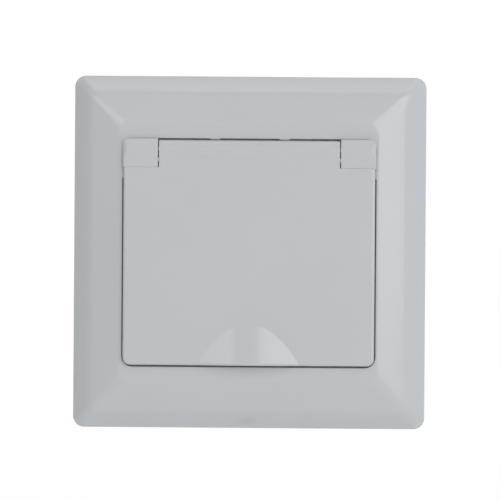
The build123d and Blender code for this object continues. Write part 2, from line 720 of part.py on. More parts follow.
def leaf_pair():
    """The two sprung leaves that grip a plug pin, seen from the side."""
    rear = leaf_front - LEAF_LENGTH
    points = [
        (LEAF_OPEN + STRIP / 2, rear),
        (LEAF_OPEN + STRIP / 2, rear + LEAF_ROOT),
        (LEAF_PINCH + STRIP / 2, leaf_front - LEAF_PINCH_DEPTH),
        (LEAF_MOUTH + STRIP / 2, leaf_front),
    ]
    mirrored = [(-z, depth) for z, depth in points]
    return trace(Polyline(*points), STRIP) + trace(Polyline(*mirrored), STRIP)


def contact():
    """Right pin contact: two leaves, the web that joins them, and the terminal tail."""
    rear = leaf_front - LEAF_LENGTH
    body = across(leaf_pair(), pin_x - LEAF_INNER, web_out)
    half = LEAF_OPEN + STRIP
    body += block(web_in, web_out, -half, half, tail_back, rear + LEAF_ROOT)
    low = -TERMINAL_Z - TERMINAL_PAD
    body += block(web_in, web_in + TAIL_WIDTH, low, half, tail_back, tail_front)
    return terminal_collar(body, terminal_x, -TERMINAL_Z)


def terminal_collar(body, x, z):
    """Add the drawn and threaded collar of a terminal to its tail."""
    body += prism(Pos(x, z) * Circle(COLLAR_DIAMETER / 2), tail_back, tail_front + COLLAR_HEIGHT)
    hole = Pos(x, z) * Circle(TERMINAL_SCREW_DIAMETER / 2 + THREAD_FIT)
    return body - prism(hole, tail_back, tail_front + COLLAR_HEIGHT)


def contact_spring():
    """Right steel clip around the rear of the leaves, seen from the front."""
    middle = SPRING_STRIP / 2 + CONTACT_FIT
    side = LEAF_OPEN + STRIP + middle
    inner, outer = pin_x - LEAF_INNER + STRIP, web_out + middle
    corners = [(inner, side), (outer, side), (outer, -side), (inner, -side)]
    path = FilletPolyline(*corners, radius=SPRING_STRIP)
    rear = leaf_front - SPRING_DEPTH - SPRING_WIDTH
    return prism(trace(path, SPRING_STRIP), rear, rear + SPRING_WIDTH)


def strap_path():
    """The earth strap from tip to tip, seen from the side: tip, contact bend, arm and bridge."""
    out = strap_out + STRIP / 2
    tip = flange_front - CLIP_POCKET_SETBACK - CLIP_TIP_SETBACK
    upper = [
        (well_r - STRIP / 2, tip),
        (well_r - CLIP_IN, flange_front - CLIP_CONTACT_DEPTH),
        (out, flange_front - CLIP_BEND_DEPTH),
        (out, strap_mid),
    ]
    lower = [(-z, depth) for z, depth in reversed(upper)]
    return upper + lower


def earth_strap():
    path = FilletPolyline(*strap_path(), radius=STRAP_BEND_R)
    body = across(trace(path, STRIP), -STRAP_WIDTH / 2, STRAP_WIDTH / 2)
    screw_hole = Circle(CENTRE_SCREW_DIAMETER / 2 + CENTRE_HOLE_FIT)
    body -= prism(screw_hole, strap_back, strap_front)
    rivet_hole = Pos(0, earth_rivet_z) * Circle(EARTH_RIVET_DIAMETER / 2 + RIVET_FIT)
    return body - prism(rivet_hole, strap_back, strap_front)


def earth_terminal():
    """Brass tail from the strap through the base to the earth terminal."""
    half = STRAP_WIDTH / 2
    foot_front = strap_back - SEAT_GAP
    leg_low, leg_high = EARTH_LEG_Z - EARTH_STRIP / 2, EARTH_LEG_Z + EARTH_STRIP / 2
    foot_low, foot_back = leg_low - EARTH_FOOT + STRAP_FIT, foot_front - EARTH_STRIP
    body = block(-half, half, foot_low, leg_high, foot_back, foot_front)
    body += block(-half, half, leg_low, leg_high, tail_back, foot_front)
    body += block(-half, half, leg_low, EARTH_TERMINAL_Z + TERMINAL_PAD, tail_back, tail_front)
    body = terminal_collar(body, 0, EARTH_TERMINAL_Z)
    rivet_hole = Pos(0, earth_rivet_z) * Circle(EARTH_RIVET_DIAMETER / 2 + RIVET_FIT)
    return body - prism(rivet_hole, foot_back, foot_front)


def earth_rivet():
    spot = Pos(0, earth_rivet_z)
    foot_back = strap_back - SEAT_GAP - EARTH_STRIP
    body = prism(spot * Circle(EARTH_RIVET_DIAMETER / 2), foot_back - EARTH_RIVET_HEAD, strap_front)
    head_front = foot_back - SEAT_GAP
    return body + prism(spot * Circle(EARTH_RIVET_DIAMETER), foot_back - EARTH_RIVET_HEAD, head_front)


def terminal_places():
    """Line, neutral and earth terminals."""
    return [(-terminal_x, -TERMINAL_Z), (terminal_x, -TERMINAL_Z), (0, EARTH_TERMINAL_Z)]


def terminal_screws():
    screws = []
    head_r = TERMINAL_SCREW_HEAD / 2
    for x, z in terminal_places():
        head = prism(Pos(x, z) * Circle(head_r), base_rear, head_front)
        head = fillet(head.edges().group_by(Axis.Y)[-1], TERMINAL_HEAD_HEIGHT / 4)
        shank = Pos(x, z) * Circle(TERMINAL_SCREW_DIAMETER / 2)
        screw = head + prism(shank, head_front, head_front + TERMINAL_SCREW_LENGTH)
        slot = rect(x - head_r, x + head_r, z - SCREW_SLOT / 2, z + SCREW_SLOT / 2)
        screws.append(screw - prism(slot, base_rear, base_rear + SCREW_SLOT))
    return Compound(screws)


def clamp_plates():
    plates = []
    for x, z in terminal_places():
        outline = RectangleRounded(CLAMP_SIZE, CLAMP_SIZE - STRIP, STRIP)
        outline -= Circle(TERMINAL_SCREW_DIAMETER / 2 + CENTRE_HOLE_FIT)
        plates.append(prism(Pos(x, z) * outline, clamp_back, clamp_front))
    return Compound(plates)


def centre_screw():
    shank_r, head_r = CENTRE_SCREW_DIAMETER / 2, CENTRE_HEAD_DIAMETER / 2
    top = floor_front - SEAT_GAP
    body = sink(0, 0, top, head_r, shank_r)
    body += prism(Circle(shank_r), top - CENTRE_SCREW_LENGTH, top)
    slot = rect(-head_r, head_r, -SCREW_SLOT / 2, SCREW_SLOT / 2)
    return body - prism(slot, top - SCREW_SLOT, top)


def centre_nut():
    front = strap_back - SEAT_GAP
    ring = Circle(CENTRE_NUT_DIAMETER / 2) - Circle(CENTRE_SCREW_DIAMETER / 2 + THREAD_FIT)
    return prism(ring, front - CENTRE_NUT_LENGTH, front)


def claw():
    """Right claw: threaded tab with a toothed outer edge, and a guide leg along the base."""
    half = CLAW_WIDTH / 2
    back = -CLAW_TAB_DEPTH - CLAW_TAB_THICK
    outer = claw_x + CLAW_TAB_OUT
    tab = rect(claw_leg_in, outer, -half, half)
    pitch = CLAW_WIDTH / CLAW_TEETH
    for tooth in range(CLAW_TEETH + 1):
        z = -half + tooth * pitch
        valley = Polyline(
            (outer, z - pitch / 2), (outer, z + pitch / 2), (outer - CLAW_TOOTH, z), close=True
        )
        tab -= make_face(valley)
    tab -= Pos(claw_x, 0) * Circle(CLAW_SCREW_DIAMETER / 2 + THREAD_FIT)
    body = prism(tab, back, -CLAW_TAB_DEPTH)
    leg_front = base_front - CLAW_LEG_SETBACK
    leg = block(claw_leg_in, claw_leg_in + CLAW_LEG_THICK, -half, half, back, leg_front)
    return body + leg


def claw_screw():
    """Right claw screw: a ball-seated head in the support plate and a long thread."""
    ball = Pos(claw_x, -claw_pivot, 0) * Sphere(CLAW_HEAD_DIAMETER / 2)
    half = CLAW_HEAD_DIAMETER
    head = ball & block(claw_x - half, claw_x + half, -half, half, 0, claw_pivot)
    body = head + prism(Pos(claw_x, 0) * Circle(CLAW_SCREW_DIAMETER / 2), -CLAW_SCREW_TIP, claw_pivot)
    slot = rect(claw_x - half, claw_x + half, -SCREW_SLOT / 2, SCREW_SLOT / 2)
    return body - prism(slot, claw_pivot - SCREW_SLOT, claw_pivot + OVERCUT)


def parts():
    """Every sub-part by its name."""
    right = {
        "contact": contact(),
        "contact_spring": contact_spring(),
        "claw": claw(),
        "claw_screw": claw_screw(),
    }
    model = {
        "frame": frame(),
        "centre_plate": centre_plate(),
        "lid": lid(),
        "hinge_pin": hinge_pin(),
        "lid_spring": lid_spring(),
        "support_plate": support_plate(),
        "plate_rivets": plate_rivets(),
        "socket_base": socket_base(),
        "rear_cover": rear_cover(),
        "cover_screws": cover_screws(),
        "earth_strap": earth_strap(),
        "earth_terminal": earth_terminal(),
        "earth_rivet": earth_rivet(),
        "terminal_screws": terminal_screws(),
        "clamp_plates": clamp_plates(),
        "centre_screw": centre_screw(),
        "centre_nut": centre_nut(),
    }
    for name, piece in right.items():
        model[name + "_right"] = piece
        model[name + "_left"] = mirror(piece, about=Plane.YZ)
    return model


os.makedirs("parts", exist_ok=True)
for name, piece in parts().items():
    export_step(piece, f"parts/{name}.step")
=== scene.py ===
# %% [markdown]
# A flush wall socket with a hinged lid, dressed for its picture.
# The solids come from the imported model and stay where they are, in metres, with
# X to the right, Y into the wall and Z up. This lesson gives them their finishes,
# rebuilds the pieces whose fine form shows, and sets the camera and the light.

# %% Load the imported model
import json
from math import cos, hypot, pi, radians, sin, sqrt, tan

import bmesh
import bpy
from mathutils import Matrix, Vector


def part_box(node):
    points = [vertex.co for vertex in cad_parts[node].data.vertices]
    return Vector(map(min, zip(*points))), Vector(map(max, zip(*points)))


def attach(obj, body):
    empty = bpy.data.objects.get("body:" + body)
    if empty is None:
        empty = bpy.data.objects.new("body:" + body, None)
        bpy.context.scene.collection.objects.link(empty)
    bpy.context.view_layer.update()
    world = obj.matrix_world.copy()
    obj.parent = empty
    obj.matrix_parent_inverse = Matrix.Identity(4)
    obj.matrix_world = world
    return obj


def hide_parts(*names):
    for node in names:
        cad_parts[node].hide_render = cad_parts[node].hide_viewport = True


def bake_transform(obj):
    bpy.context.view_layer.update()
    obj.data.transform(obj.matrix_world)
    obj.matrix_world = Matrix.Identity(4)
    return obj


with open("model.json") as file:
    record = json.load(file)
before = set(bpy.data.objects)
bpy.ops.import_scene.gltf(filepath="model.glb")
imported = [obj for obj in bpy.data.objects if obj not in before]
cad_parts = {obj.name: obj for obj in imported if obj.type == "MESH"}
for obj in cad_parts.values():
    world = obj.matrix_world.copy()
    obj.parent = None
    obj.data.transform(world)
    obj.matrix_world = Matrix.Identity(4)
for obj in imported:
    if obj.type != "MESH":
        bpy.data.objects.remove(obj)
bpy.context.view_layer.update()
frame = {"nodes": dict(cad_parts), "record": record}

MM = 0.001
nodes = frame["nodes"]

# %% [markdown]
# Colours are written as sRGB hex codes, the way a colour picker shows them, while
# shaders count in linear light, so one function turns the first into the second.
# Another adds a node to any tree, sets its options, and fills its inputs with plain
# values or with links, which keeps every material and tree below short.

# %% Colour and node helpers
def linear(code):
    """An sRGB hex code as linear red, green, blue and alpha."""
    values = [int(code[i : i + 2], 16) / 255 for i in (1, 3, 5)]
    return [v / 12.92 if v <= 0.04045 else ((v + 0.055) / 1.055) ** 2.4 for v in values] + [1.0]


def fill(tree, node, inputs):
    """Set or link a node's inputs, by name or by place."""
    for place, value in inputs.items():
        if isinstance(value, bpy.types.NodeSocket):
            tree.links.new(value, node.inputs[place])
        else:
            node.inputs[place].default_value = value


def add(tree, kind, inputs=None, **settings):
    """Add a node, apply its settings, and fill its inputs."""
    node = tree.nodes.new(kind)
    for name, value in settings.items():
        setattr(node, name, value)
    fill(tree, node, inputs or {})
    return node


print("middle grey in linear light:", round(linear("#808080")[0], 3))

# %% [markdown]
# Every finish starts the same way: an empty material, one principled shader, and
# the piece's own coordinates in metres. Patterns then take their scale from a real
# size: a noise of scale 1 repeats about once a metre, so a ripple of 3 mm has 1 / 3 mm.
# Every finish also ends the same way. Its relief is a bump, and a small bevel in the
# shading alone breaks the sharp corners, as every mould and every press does.

# %% Start and end of a material
def new_material(name):
    """An empty material with its principled shader and Object coordinates."""
    material = bpy.data.materials.new(name)
    material.use_nodes = True
    tree = material.node_tree
    tree.nodes.clear()
    shader = add(tree, "ShaderNodeBsdfPrincipled")
    add(tree, "ShaderNodeOutputMaterial", {"Surface": shader.outputs["BSDF"]})
    place = add(tree, "ShaderNodeTexCoord").outputs["Object"]
    print("material:", name)
    return material, tree, shader, place


def dress(tree, shader, looks, relief, corner, samples=4):
    """Fill a shader's sockets, with a bump over corners that are broken in the shading."""
    edge = add(tree, "ShaderNodeBevel", {"Radius": corner}, samples=samples)
    bump = add(tree, "ShaderNodeBump", {**relief, "Normal": edge.outputs[0]})
    fill(tree, shader, {**looks, "Normal": bump.outputs["Normal"]})


# %% [markdown]
# The frame, the lid and the centre plate are white ABS moulded in a polished tool.
# That gives a clear gloss with a faint ripple, called orange peel, that only shows
# where a light is mirrored. The white is a cool one and not quite even, and fingers
# have left one faint rub mark on the frame's lower edge.

# %% White ABS
RUB_MARK = Vector((-0.4, 0, -40.7)) * MM
RUB_SIZE = Vector((3.2, 9.0, 1.3)) * MM
RUB_STRENGTH = 0.35
white_abs, tree, shader, place = new_material("white moulded ABS")
cloud = add(tree, "ShaderNodeTexNoise", {"Vector": place, "Scale": 1 / (22 * MM), "Detail": 2.0})
clean = add(tree, "ShaderNodeMix", {
    0: cloud.outputs["Fac"], "A": linear("#BDC1C4"), "B": linear("#C1C5C8"),
}, data_type="RGBA")
offset = add(tree, "ShaderNodeVectorMath", {0: place, 1: RUB_MARK}, operation="SUBTRACT")
reach = add(tree, "ShaderNodeVectorMath", {0: offset.outputs[0], 1: RUB_SIZE}, operation="DIVIDE")
reach = add(tree, "ShaderNodeVectorMath", {0: reach.outputs[0]}, operation="LENGTH")
rub = add(tree, "ShaderNodeMapRange", {
    "Value": reach.outputs["Value"], "From Min": 1.0, "From Max": 0.0, "To Max": RUB_STRENGTH,
})
rubbed = add(tree, "ShaderNodeMix", {
    0: rub.outputs["Result"], "A": clean.outputs["Result"], "B": linear("#9C9A92"),
}, data_type="RGBA")
wear = add(tree, "ShaderNodeTexNoise", {"Vector": place, "Scale": 1 / (5 * MM), "Detail": 5.0})
gloss = add(tree, "ShaderNodeMapRange", {"Value": wear.outputs["Fac"], "To Min": 0.10, "To Max": 0.18})
peel = add(tree, "ShaderNodeTexNoise", {"Vector": place, "Scale": 1 / (1.8 * MM), "Detail": 1.0})
dress(
    tree, shader,
    looks={"Base Color": rubbed.outputs["Result"], "Roughness": gloss.outputs["Result"], "IOR": 1.53},
    relief={"Height": peel.outputs["Fac"], "Strength": 0.03, "Distance": 0.2 * MM},
    corner=0.05 * MM, samples=6,
)

# %% [markdown]
# The base behind the wall is grey polyamide filled with glass, moulded in a matt,
# spark eroded tool. It shows pale flow streaks where the melt ran, and a fine grain.
# The grain of a real tool is about 0.1 mm, drawn here at 0.35 mm so that it shows.

# %% Grey polyamide
grey_polyamide, tree, shader, place = new_material("grey glass filled polyamide")
drawn = add(tree, "ShaderNodeMapping", {"Vector": place, "Scale": (1, 0.2, 1)}).outputs[0]
flow = add(tree, "ShaderNodeTexNoise", {
    "Vector": drawn, "Scale": 1 / (3 * MM), "Detail": 4.0, "Distortion": 1.5,
})
streaks = add(tree, "ShaderNodeMix", {
    0: flow.outputs["Fac"], "A": linear("#65676A"), "B": linear("#7B7D80"),
}, data_type="RGBA")
grain = add(tree, "ShaderNodeTexNoise", {"Vector": place, "Scale": 1 / (0.35 * MM), "Detail": 2.0})
matt = add(tree, "ShaderNodeMapRange", {"Value": grain.outputs["Fac"], "To Min": 0.42, "To Max": 0.68})
dress(
    tree, shader,
    looks={"Base Color": streaks.outputs["Result"], "Roughness": matt.outputs["Result"], "IOR": 1.55},
    relief={"Height": grain.outputs["Fac"], "Strength": 0.35, "Distance": 0.06 * MM},
    corner=0.25 * MM,
)

# %% [markdown]
# Sheet metal keeps the fine lines of its rolling, and each plating or alloy adds a
# cloud of its own: zinc turns faintly bluish and yellow where it was passivated, brass
# goes brown where hands touched it, and drawn wire has lines from its die. One recipe
# serves all three, with their own colours and roughness. Real rolling lines are some
# 0.03 mm apart and are drawn at about 0.2 mm, because finer ones would not show.

# %% Rolled and drawn metals
def rolled_metal(name, colours, gloss, line, cloud):
    """A bare metal with rolling lines along X and clouds of stain, their sizes in mm."""
    clean, lined, stained = (linear(code) for code in colours)
    smooth, rough = gloss
    material, tree, shader, place = new_material(name)
    along = add(tree, "ShaderNodeMapping", {"Vector": place, "Scale": (0.04, 1, 1)}).outputs[0]
    lines = add(tree, "ShaderNodeTexNoise", {"Vector": along, "Scale": 1 / (line * MM), "Detail": 3.0})
    lines = lines.outputs["Fac"]
    haze = add(tree, "ShaderNodeTexNoise", {"Vector": place, "Scale": 1 / (cloud * MM), "Detail": 4.0})
    bare = add(tree, "ShaderNodeMix", {0: lines, "A": clean, "B": lined}, data_type="RGBA")
    spread = add(tree, "ShaderNodeMapRange", {
        "Value": haze.outputs["Fac"], "From Min": 0.45, "From Max": 0.75, "To Max": 0.6,
    })
    aged = add(tree, "ShaderNodeMix", {
        0: spread.outputs["Result"], "A": bare.outputs["Result"], "B": stained,
    }, data_type="RGBA")
    dull = add(tree, "ShaderNodeMapRange", {"Value": lines, "To Min": smooth, "To Max": rough})
    dress(
        tree, shader,
        looks={"Base Color": aged.outputs["Result"], "Roughness": dull.outputs["Result"], "Metallic": 1.0},
        relief={"Height": lines, "Strength": 0.12, "Distance": 0.04 * MM},
        corner=0.1 * MM,
    )
    return material


zinc = rolled_metal(
    "zinc plated steel", ("#B2B5B8", "#A2A5AA", "#B7B29C"), gloss=(0.24, 0.42), line=0.22, cloud=7,
)
spring_steel = rolled_metal(
    "drawn spring steel", ("#909398", "#7E8186", "#7C756C"), gloss=(0.16, 0.32), line=0.12, cloud=4,
)
brass = rolled_metal(
    "stamped brass", ("#CDAA62", "#BC974E", "#94703C"), gloss=(0.20, 0.38), line=0.22, cloud=6,
)

# %% [markdown]
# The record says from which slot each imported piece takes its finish. The pieces keep
# their meshes, so a change of finish is only a change of what fills their slots.

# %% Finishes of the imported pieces
finishes = {
    "white_plastic": white_abs,
    "base_plastic": grey_polyamide,
    "plated_steel": zinc,
    "spring_steel": spring_steel,
    "brass": brass,
}
for part in frame["record"]["subparts"]:
    nodes[part["node"]].material_slots[0].material = finishes[part["material_slot"]]

# %% [markdown]
# The next pieces come from Geometry Nodes trees. A tree is built once in the script,
# with named inputs for its sizes, and is run on a small carrier mesh that holds only
# what it starts from. The result is kept as a plain mesh, and the carrier is thrown
# away with its modifier, so that nothing live is left on the finished piece.

# %% Start a tree and run it
def new_tree(name, sockets):
    """An empty Geometry Nodes tree with named inputs, and those inputs' links."""
    tree = bpy.data.node_groups.new(name, "GeometryNodeTree")
    tree.interface.new_socket("Geometry", in_out="INPUT", socket_type="NodeSocketGeometry")
    for label, kind in sockets.items():
        tree.interface.new_socket(label, in_out="INPUT", socket_type="NodeSocket" + kind)
    tree.interface.new_socket("Geometry", in_out="OUTPUT", socket_type="NodeSocketGeometry")
    return tree, add(tree, "NodeGroupInput").outputs


def carry(name, mesh):
    """A new object at the origin that holds a mesh, a lamp or a camera."""
    holder = bpy.data.objects.new(name, mesh)
    bpy.context.scene.collection.objects.link(holder)
    return holder


def grow(tree, mesh, values):
    """Run a tree on a carrier mesh and return what it makes as a plain mesh."""
    carrier = carry(tree.name, mesh)
    modifier = carrier.modifiers.new(tree.name, "NODES")
    modifier.node_group = tree
    for item in tree.interface.items_tree:
        if item.in_out == "INPUT" and item.name in values:
            modifier[item.identifier] = values[item.name]
    depsgraph = bpy.context.evaluated_depsgraph_get()
    result = bpy.data.meshes.new_from_object(carrier.evaluated_get(depsgraph), depsgraph=depsgraph)
    bpy.data.objects.remove(carrier)
    return result


# %% [markdown]
# Some steps come back in several trees. A grid numbers its points column by column,
# from which each point's row and column follow. A mesh is shaded smooth but keeps its
# sharp edges. And every tree ends in real meshes instead of instances, and a material.

# %% Steps that trees share
MERGE = 0.002 * MM


def rows_and_columns(tree, rows):
    """The row and the column of each point of a grid that has so many rows."""
    index = add(tree, "GeometryNodeInputIndex").outputs[0]
    row = add(tree, "ShaderNodeMath", {0: index, 1: rows}, operation="FLOORED_MODULO").outputs[0]
    column = add(tree, "ShaderNodeMath", {0: index, 1: rows}, operation="DIVIDE").outputs[0]
    return row, add(tree, "ShaderNodeMath", {0: column}, operation="FLOOR").outputs[0]


def shade(tree, mesh, limit):
    """Shade a mesh smooth, except along edges that bend by more than a limit."""
    bend = add(tree, "GeometryNodeInputMeshEdgeAngle").outputs["Unsigned Angle"]
    sharp = add(tree, "FunctionNodeCompare", {0: bend, 1: limit}, operation="GREATER_THAN").outputs[0]
    mesh = add(tree, "GeometryNodeSetShadeSmooth", {0: mesh, 2: True}, domain="FACE").outputs[0]
    return add(tree, "GeometryNodeSetShadeSmooth", {0: mesh, 1: sharp, 2: False}, domain="EDGE").outputs[0]


def end_tree(tree, geometry, material):
    """Make everything real, give it its material, and put it out."""
    geometry = add(tree, "GeometryNodeRealizeInstances", {0: geometry}).outputs[0]
    geometry = add(tree, "GeometryNodeSetMaterial", {0: geometry, "Material": material}).outputs[0]
    add(tree, "NodeGroupOutput", {"Geometry": geometry})
    print("tree", tree.name, "has", len(tree.nodes), "nodes")


# %% [markdown]
# What the trees make is gathered into one object for each finished piece, which also
# learns from which slot its finish comes. A volume above zero says that faces look out.

# %% Gather meshes into a piece
def joined(name, meshes, slot):
    """One object made of several meshes, in the finish of a material slot."""
    whole = bmesh.new()
    for mesh in meshes:
        whole.from_mesh(mesh)
    result = bpy.data.meshes.new(name)
    whole.to_mesh(result)
    volume = whole.calc_volume(signed=True) / MM ** 3
    print(name, "volume", round(volume, 1), "mm3,", len(whole.faces), "faces")
    whole.free()
    result.materials.clear()
    result.materials.append(finishes[slot])
    piece = carry(name, result)
    return piece


# %% [markdown]
# The frame is one section carried round a rounded square, so a rule makes it. Each
# point of the section says how far in from the edge its ring lies, at the sides and
# at the top and bottom, how far out from the wall, and how round its corners are. The
# tree turns a flat grid into those rings: its columns go round, its rows follow the
# section. Extra columns just past each corner keep the long sides flat in the shading.

# %% A tree for moulded rings: its grid
ring_tree, given = new_tree("Moulded ring", {
    "Half Width": "Float",
    "Half Height": "Float",
    "Corner Steps": "Int",
    "Hold": "Float",
    "Smooth Angle": "Float",
    "Material": "Material",
})
t = ring_tree
steps = given["Corner Steps"]
rows = add(t, "GeometryNodeAttributeDomainSize", {0: given["Geometry"]}, component="MESH")
rows = rows.outputs["Point Count"]
each = add(t, "ShaderNodeMath", {0: steps, 1: 3.0}, operation="ADD").outputs[0]
columns = add(t, "ShaderNodeMath", {0: each, 1: 4.0, 2: 1.0}, operation="MULTIPLY_ADD").outputs[0]
grid = add(t, "GeometryNodeMeshGrid", {"Vertices X": columns, "Vertices Y": rows}).outputs["Mesh"]
row, column = rows_and_columns(t, rows)
print("ring tree started with", len(t.nodes), "nodes")

# %% [markdown]
# A column's number gives its corner and its step there. The step gives the direction
# outwards. The first and last column of a corner do not bend. They run straight on
# instead, by the length called Hold.

# %% Moulded rings: directions round the corners
corner = add(t, "ShaderNodeMath", {0: column, 1: each}, operation="DIVIDE").outputs[0]
corner = add(t, "ShaderNodeMath", {0: corner}, operation="FLOOR").outputs[0]
step = add(t, "ShaderNodeMath", {0: column, 1: each}, operation="FLOORED_MODULO").outputs[0]
step = add(t, "ShaderNodeMath", {0: step, 1: 1.0}, operation="SUBTRACT").outputs[0]
bent = add(t, "ShaderNodeMath", {0: step, 1: 0.0}, operation="MAXIMUM").outputs[0]
bent = add(t, "ShaderNodeMath", {0: bent, 1: steps}, operation="MINIMUM").outputs[0]
past = add(t, "ShaderNodeMath", {0: step, 1: bent}, operation="SUBTRACT").outputs[0]
past = add(t, "ShaderNodeMath", {0: past, 1: given["Hold"]}, operation="MULTIPLY").outputs[0]
share = add(t, "ShaderNodeMath", {0: bent, 1: steps}, operation="DIVIDE").outputs[0]
turn = add(t, "ShaderNodeMath", {0: corner, 1: share}, operation="ADD").outputs[0]
turn = add(t, "ShaderNodeMath", {0: turn, 1: pi / 2}, operation="MULTIPLY").outputs[0]
cosine = add(t, "ShaderNodeMath", {0: turn}, operation="COSINE").outputs[0]
sine = add(t, "ShaderNodeMath", {0: turn}, operation="SINE").outputs[0]
outward = add(t, "ShaderNodeCombineXYZ", {"X": cosine, "Z": sine}).outputs[0]
ahead = add(t, "ShaderNodeVectorMath", {0: outward, 1: (0, 1, 0)}, operation="CROSS_PRODUCT").outputs[0]
middle = add(t, "ShaderNodeMath", {0: corner, 1: pi / 2, 2: pi / 4}, operation="MULTIPLY_ADD").outputs[0]
right = add(t, "ShaderNodeMath", {0: middle}, operation="COSINE").outputs[0]
right = add(t, "ShaderNodeMath", {0: right}, operation="SIGN").outputs[0]
upper = add(t, "ShaderNodeMath", {0: middle}, operation="SINE").outputs[0]
upper = add(t, "ShaderNodeMath", {0: upper}, operation="SIGN").outputs[0]
quarter = add(t, "ShaderNodeCombineXYZ", {"X": right, "Z": upper}).outputs[0]
print("ring tree so far:", len(t.nodes), "nodes")

# %% [markdown]
# Each row reads its point of the section and the corner radius stored with it. The
# corner's middle lies one radius inside the ring, and from there the direction leads
# to the place. Doubles are merged, which closes the ring and the section.

# %% Moulded rings: places of the points
point = add(t, "GeometryNodeInputPosition").outputs[0]
point = add(t, "GeometryNodeSampleIndex", {
    0: given["Geometry"], 1: point, 2: row,
}, data_type="FLOAT_VECTOR").outputs[0]
rounding = add(t, "GeometryNodeInputNamedAttribute", {"Name": "corner"}, data_type="FLOAT").outputs[0]
rounding = add(t, "GeometryNodeSampleIndex", {
    0: given["Geometry"], 1: rounding, 2: row,
}, data_type="FLOAT").outputs[0]
half = add(t, "ShaderNodeCombineXYZ", {"X": given["Half Width"], "Z": given["Half Height"]}).outputs[0]
half = add(t, "ShaderNodeVectorMath", {0: half, 1: point}, operation="SUBTRACT").outputs[0]
half = add(t, "ShaderNodeVectorMath", {0: half, 1: rounding}, operation="SUBTRACT").outputs[0]
spot = add(t, "ShaderNodeVectorMath", {0: half, 1: quarter}, operation="MULTIPLY").outputs[0]
arc = add(t, "ShaderNodeVectorMath", {0: outward, 3: rounding}, operation="SCALE").outputs[0]
run = add(t, "ShaderNodeVectorMath", {0: ahead, 3: past}, operation="SCALE").outputs[0]
level = add(t, "ShaderNodeVectorMath", {0: point, 1: (0, 1, 0)}, operation="MULTIPLY").outputs[0]
for part in (arc, run, level):
    spot = add(t, "ShaderNodeVectorMath", {0: spot, 1: part}, operation="ADD").outputs[0]
rings = add(t, "GeometryNodeSetPosition", {"Geometry": grid, "Position": spot}).outputs[0]
rings = add(t, "GeometryNodeMergeByDistance", {"Geometry": rings, "Distance": MERGE}).outputs[0]
end_tree(t, shade(t, rings, given["Smooth Angle"]), given["Material"])

# %% [markdown]
# The section itself is a closed row of corners. Moulded corners are never sharp, so
# each is cut back by its own length and bridged by a short curve.

# %% Sections with softened corners
def soften(corners, steps=8):
    """A closed section whose corners, the last value of each, are cut back and bridged."""
    softened = []
    for i, (*here, cut) in enumerate(corners):
        here = Vector(here)
        ends = [Vector(corners[i - 1][:4]), Vector(corners[(i + 1) % len(corners)][:4])]
        if cut == 0:
            softened.append(here)
            continue
        runs = [far - here for far in ends]
        start, end = (here + run * cut / hypot(max(abs(run[0]), abs(run[2])), run[1]) for run in runs)
        for s in range(steps + 1):
            softened.append(start.lerp(here, s / steps).lerp(here.lerp(end, s / steps), s / steps))
    return softened


def section(points):
    """A row of points (side inset, depth, top inset, corner radius) in mm, as a carrier mesh."""
    mesh = bpy.data.meshes.new("section")
    mesh.from_pydata([(x * MM, -depth * MM, z * MM) for x, depth, z, radius in points], [], [])
    radii = mesh.attributes.new("corner", "FLOAT", "POINT")
    radii.data.foreach_set("value", [radius * MM for x, depth, z, radius in points])
    return mesh


# %% [markdown]
# The frame's front is a straight edge, a steep band, a long slope and a flat land that
# ends at the opening. Behind it are a collar, with a ledge that clamps the centre plate,
# and the hollow. The line between band and slope is a soft one, and the middle of the
# slope is a corner as well, cut back so far that it leaves only a slight belly.

# %% The frame's section
frame_low, frame_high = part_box("frame")
FRAME_HALF, FRAME_FRONT = frame_high[0] / MM, -frame_low[1] / MM
EDGE, BAND, BAND_TOP, BAND_BELLY = 1.6, 4.0, 5.7, 0.12     # straight edge; band's width, top and belly
SLOPE_TOP, LAND = 7.32, 0.7                                # middle of the slope; land before the opening
SIDE, TOP = 11.86, 14.91                                   # the opening's inset at the sides, and at the top
WALL, HOLLOW, COLLAR = 2.0, 0.4, 1.8                       # wall; room under the land; collar's thickness
LEDGE, LEDGE_FRONT, LEDGE_BACK = 2.2, 3.5, 2.0             # the ledge's reach and its two faces
MOUTH = 0.14                                               # rounding of the opening's edge
CORNER, BAND_CORNER, SLOPE_CORNER, OPENING_CORNER = 2.7, 2.2, 1.7, 2.6
LEDGE_CORNER, COLLAR_CORNER, UNDER_CORNER, BACK_CORNER = 0.3, 3.8, 1.4, 1.0
under = FRAME_FRONT - WALL - HOLLOW
band_middle = (EDGE + BAND_TOP) / 2 + BAND_BELLY
slope_middle = (BAND + SIDE) / 2
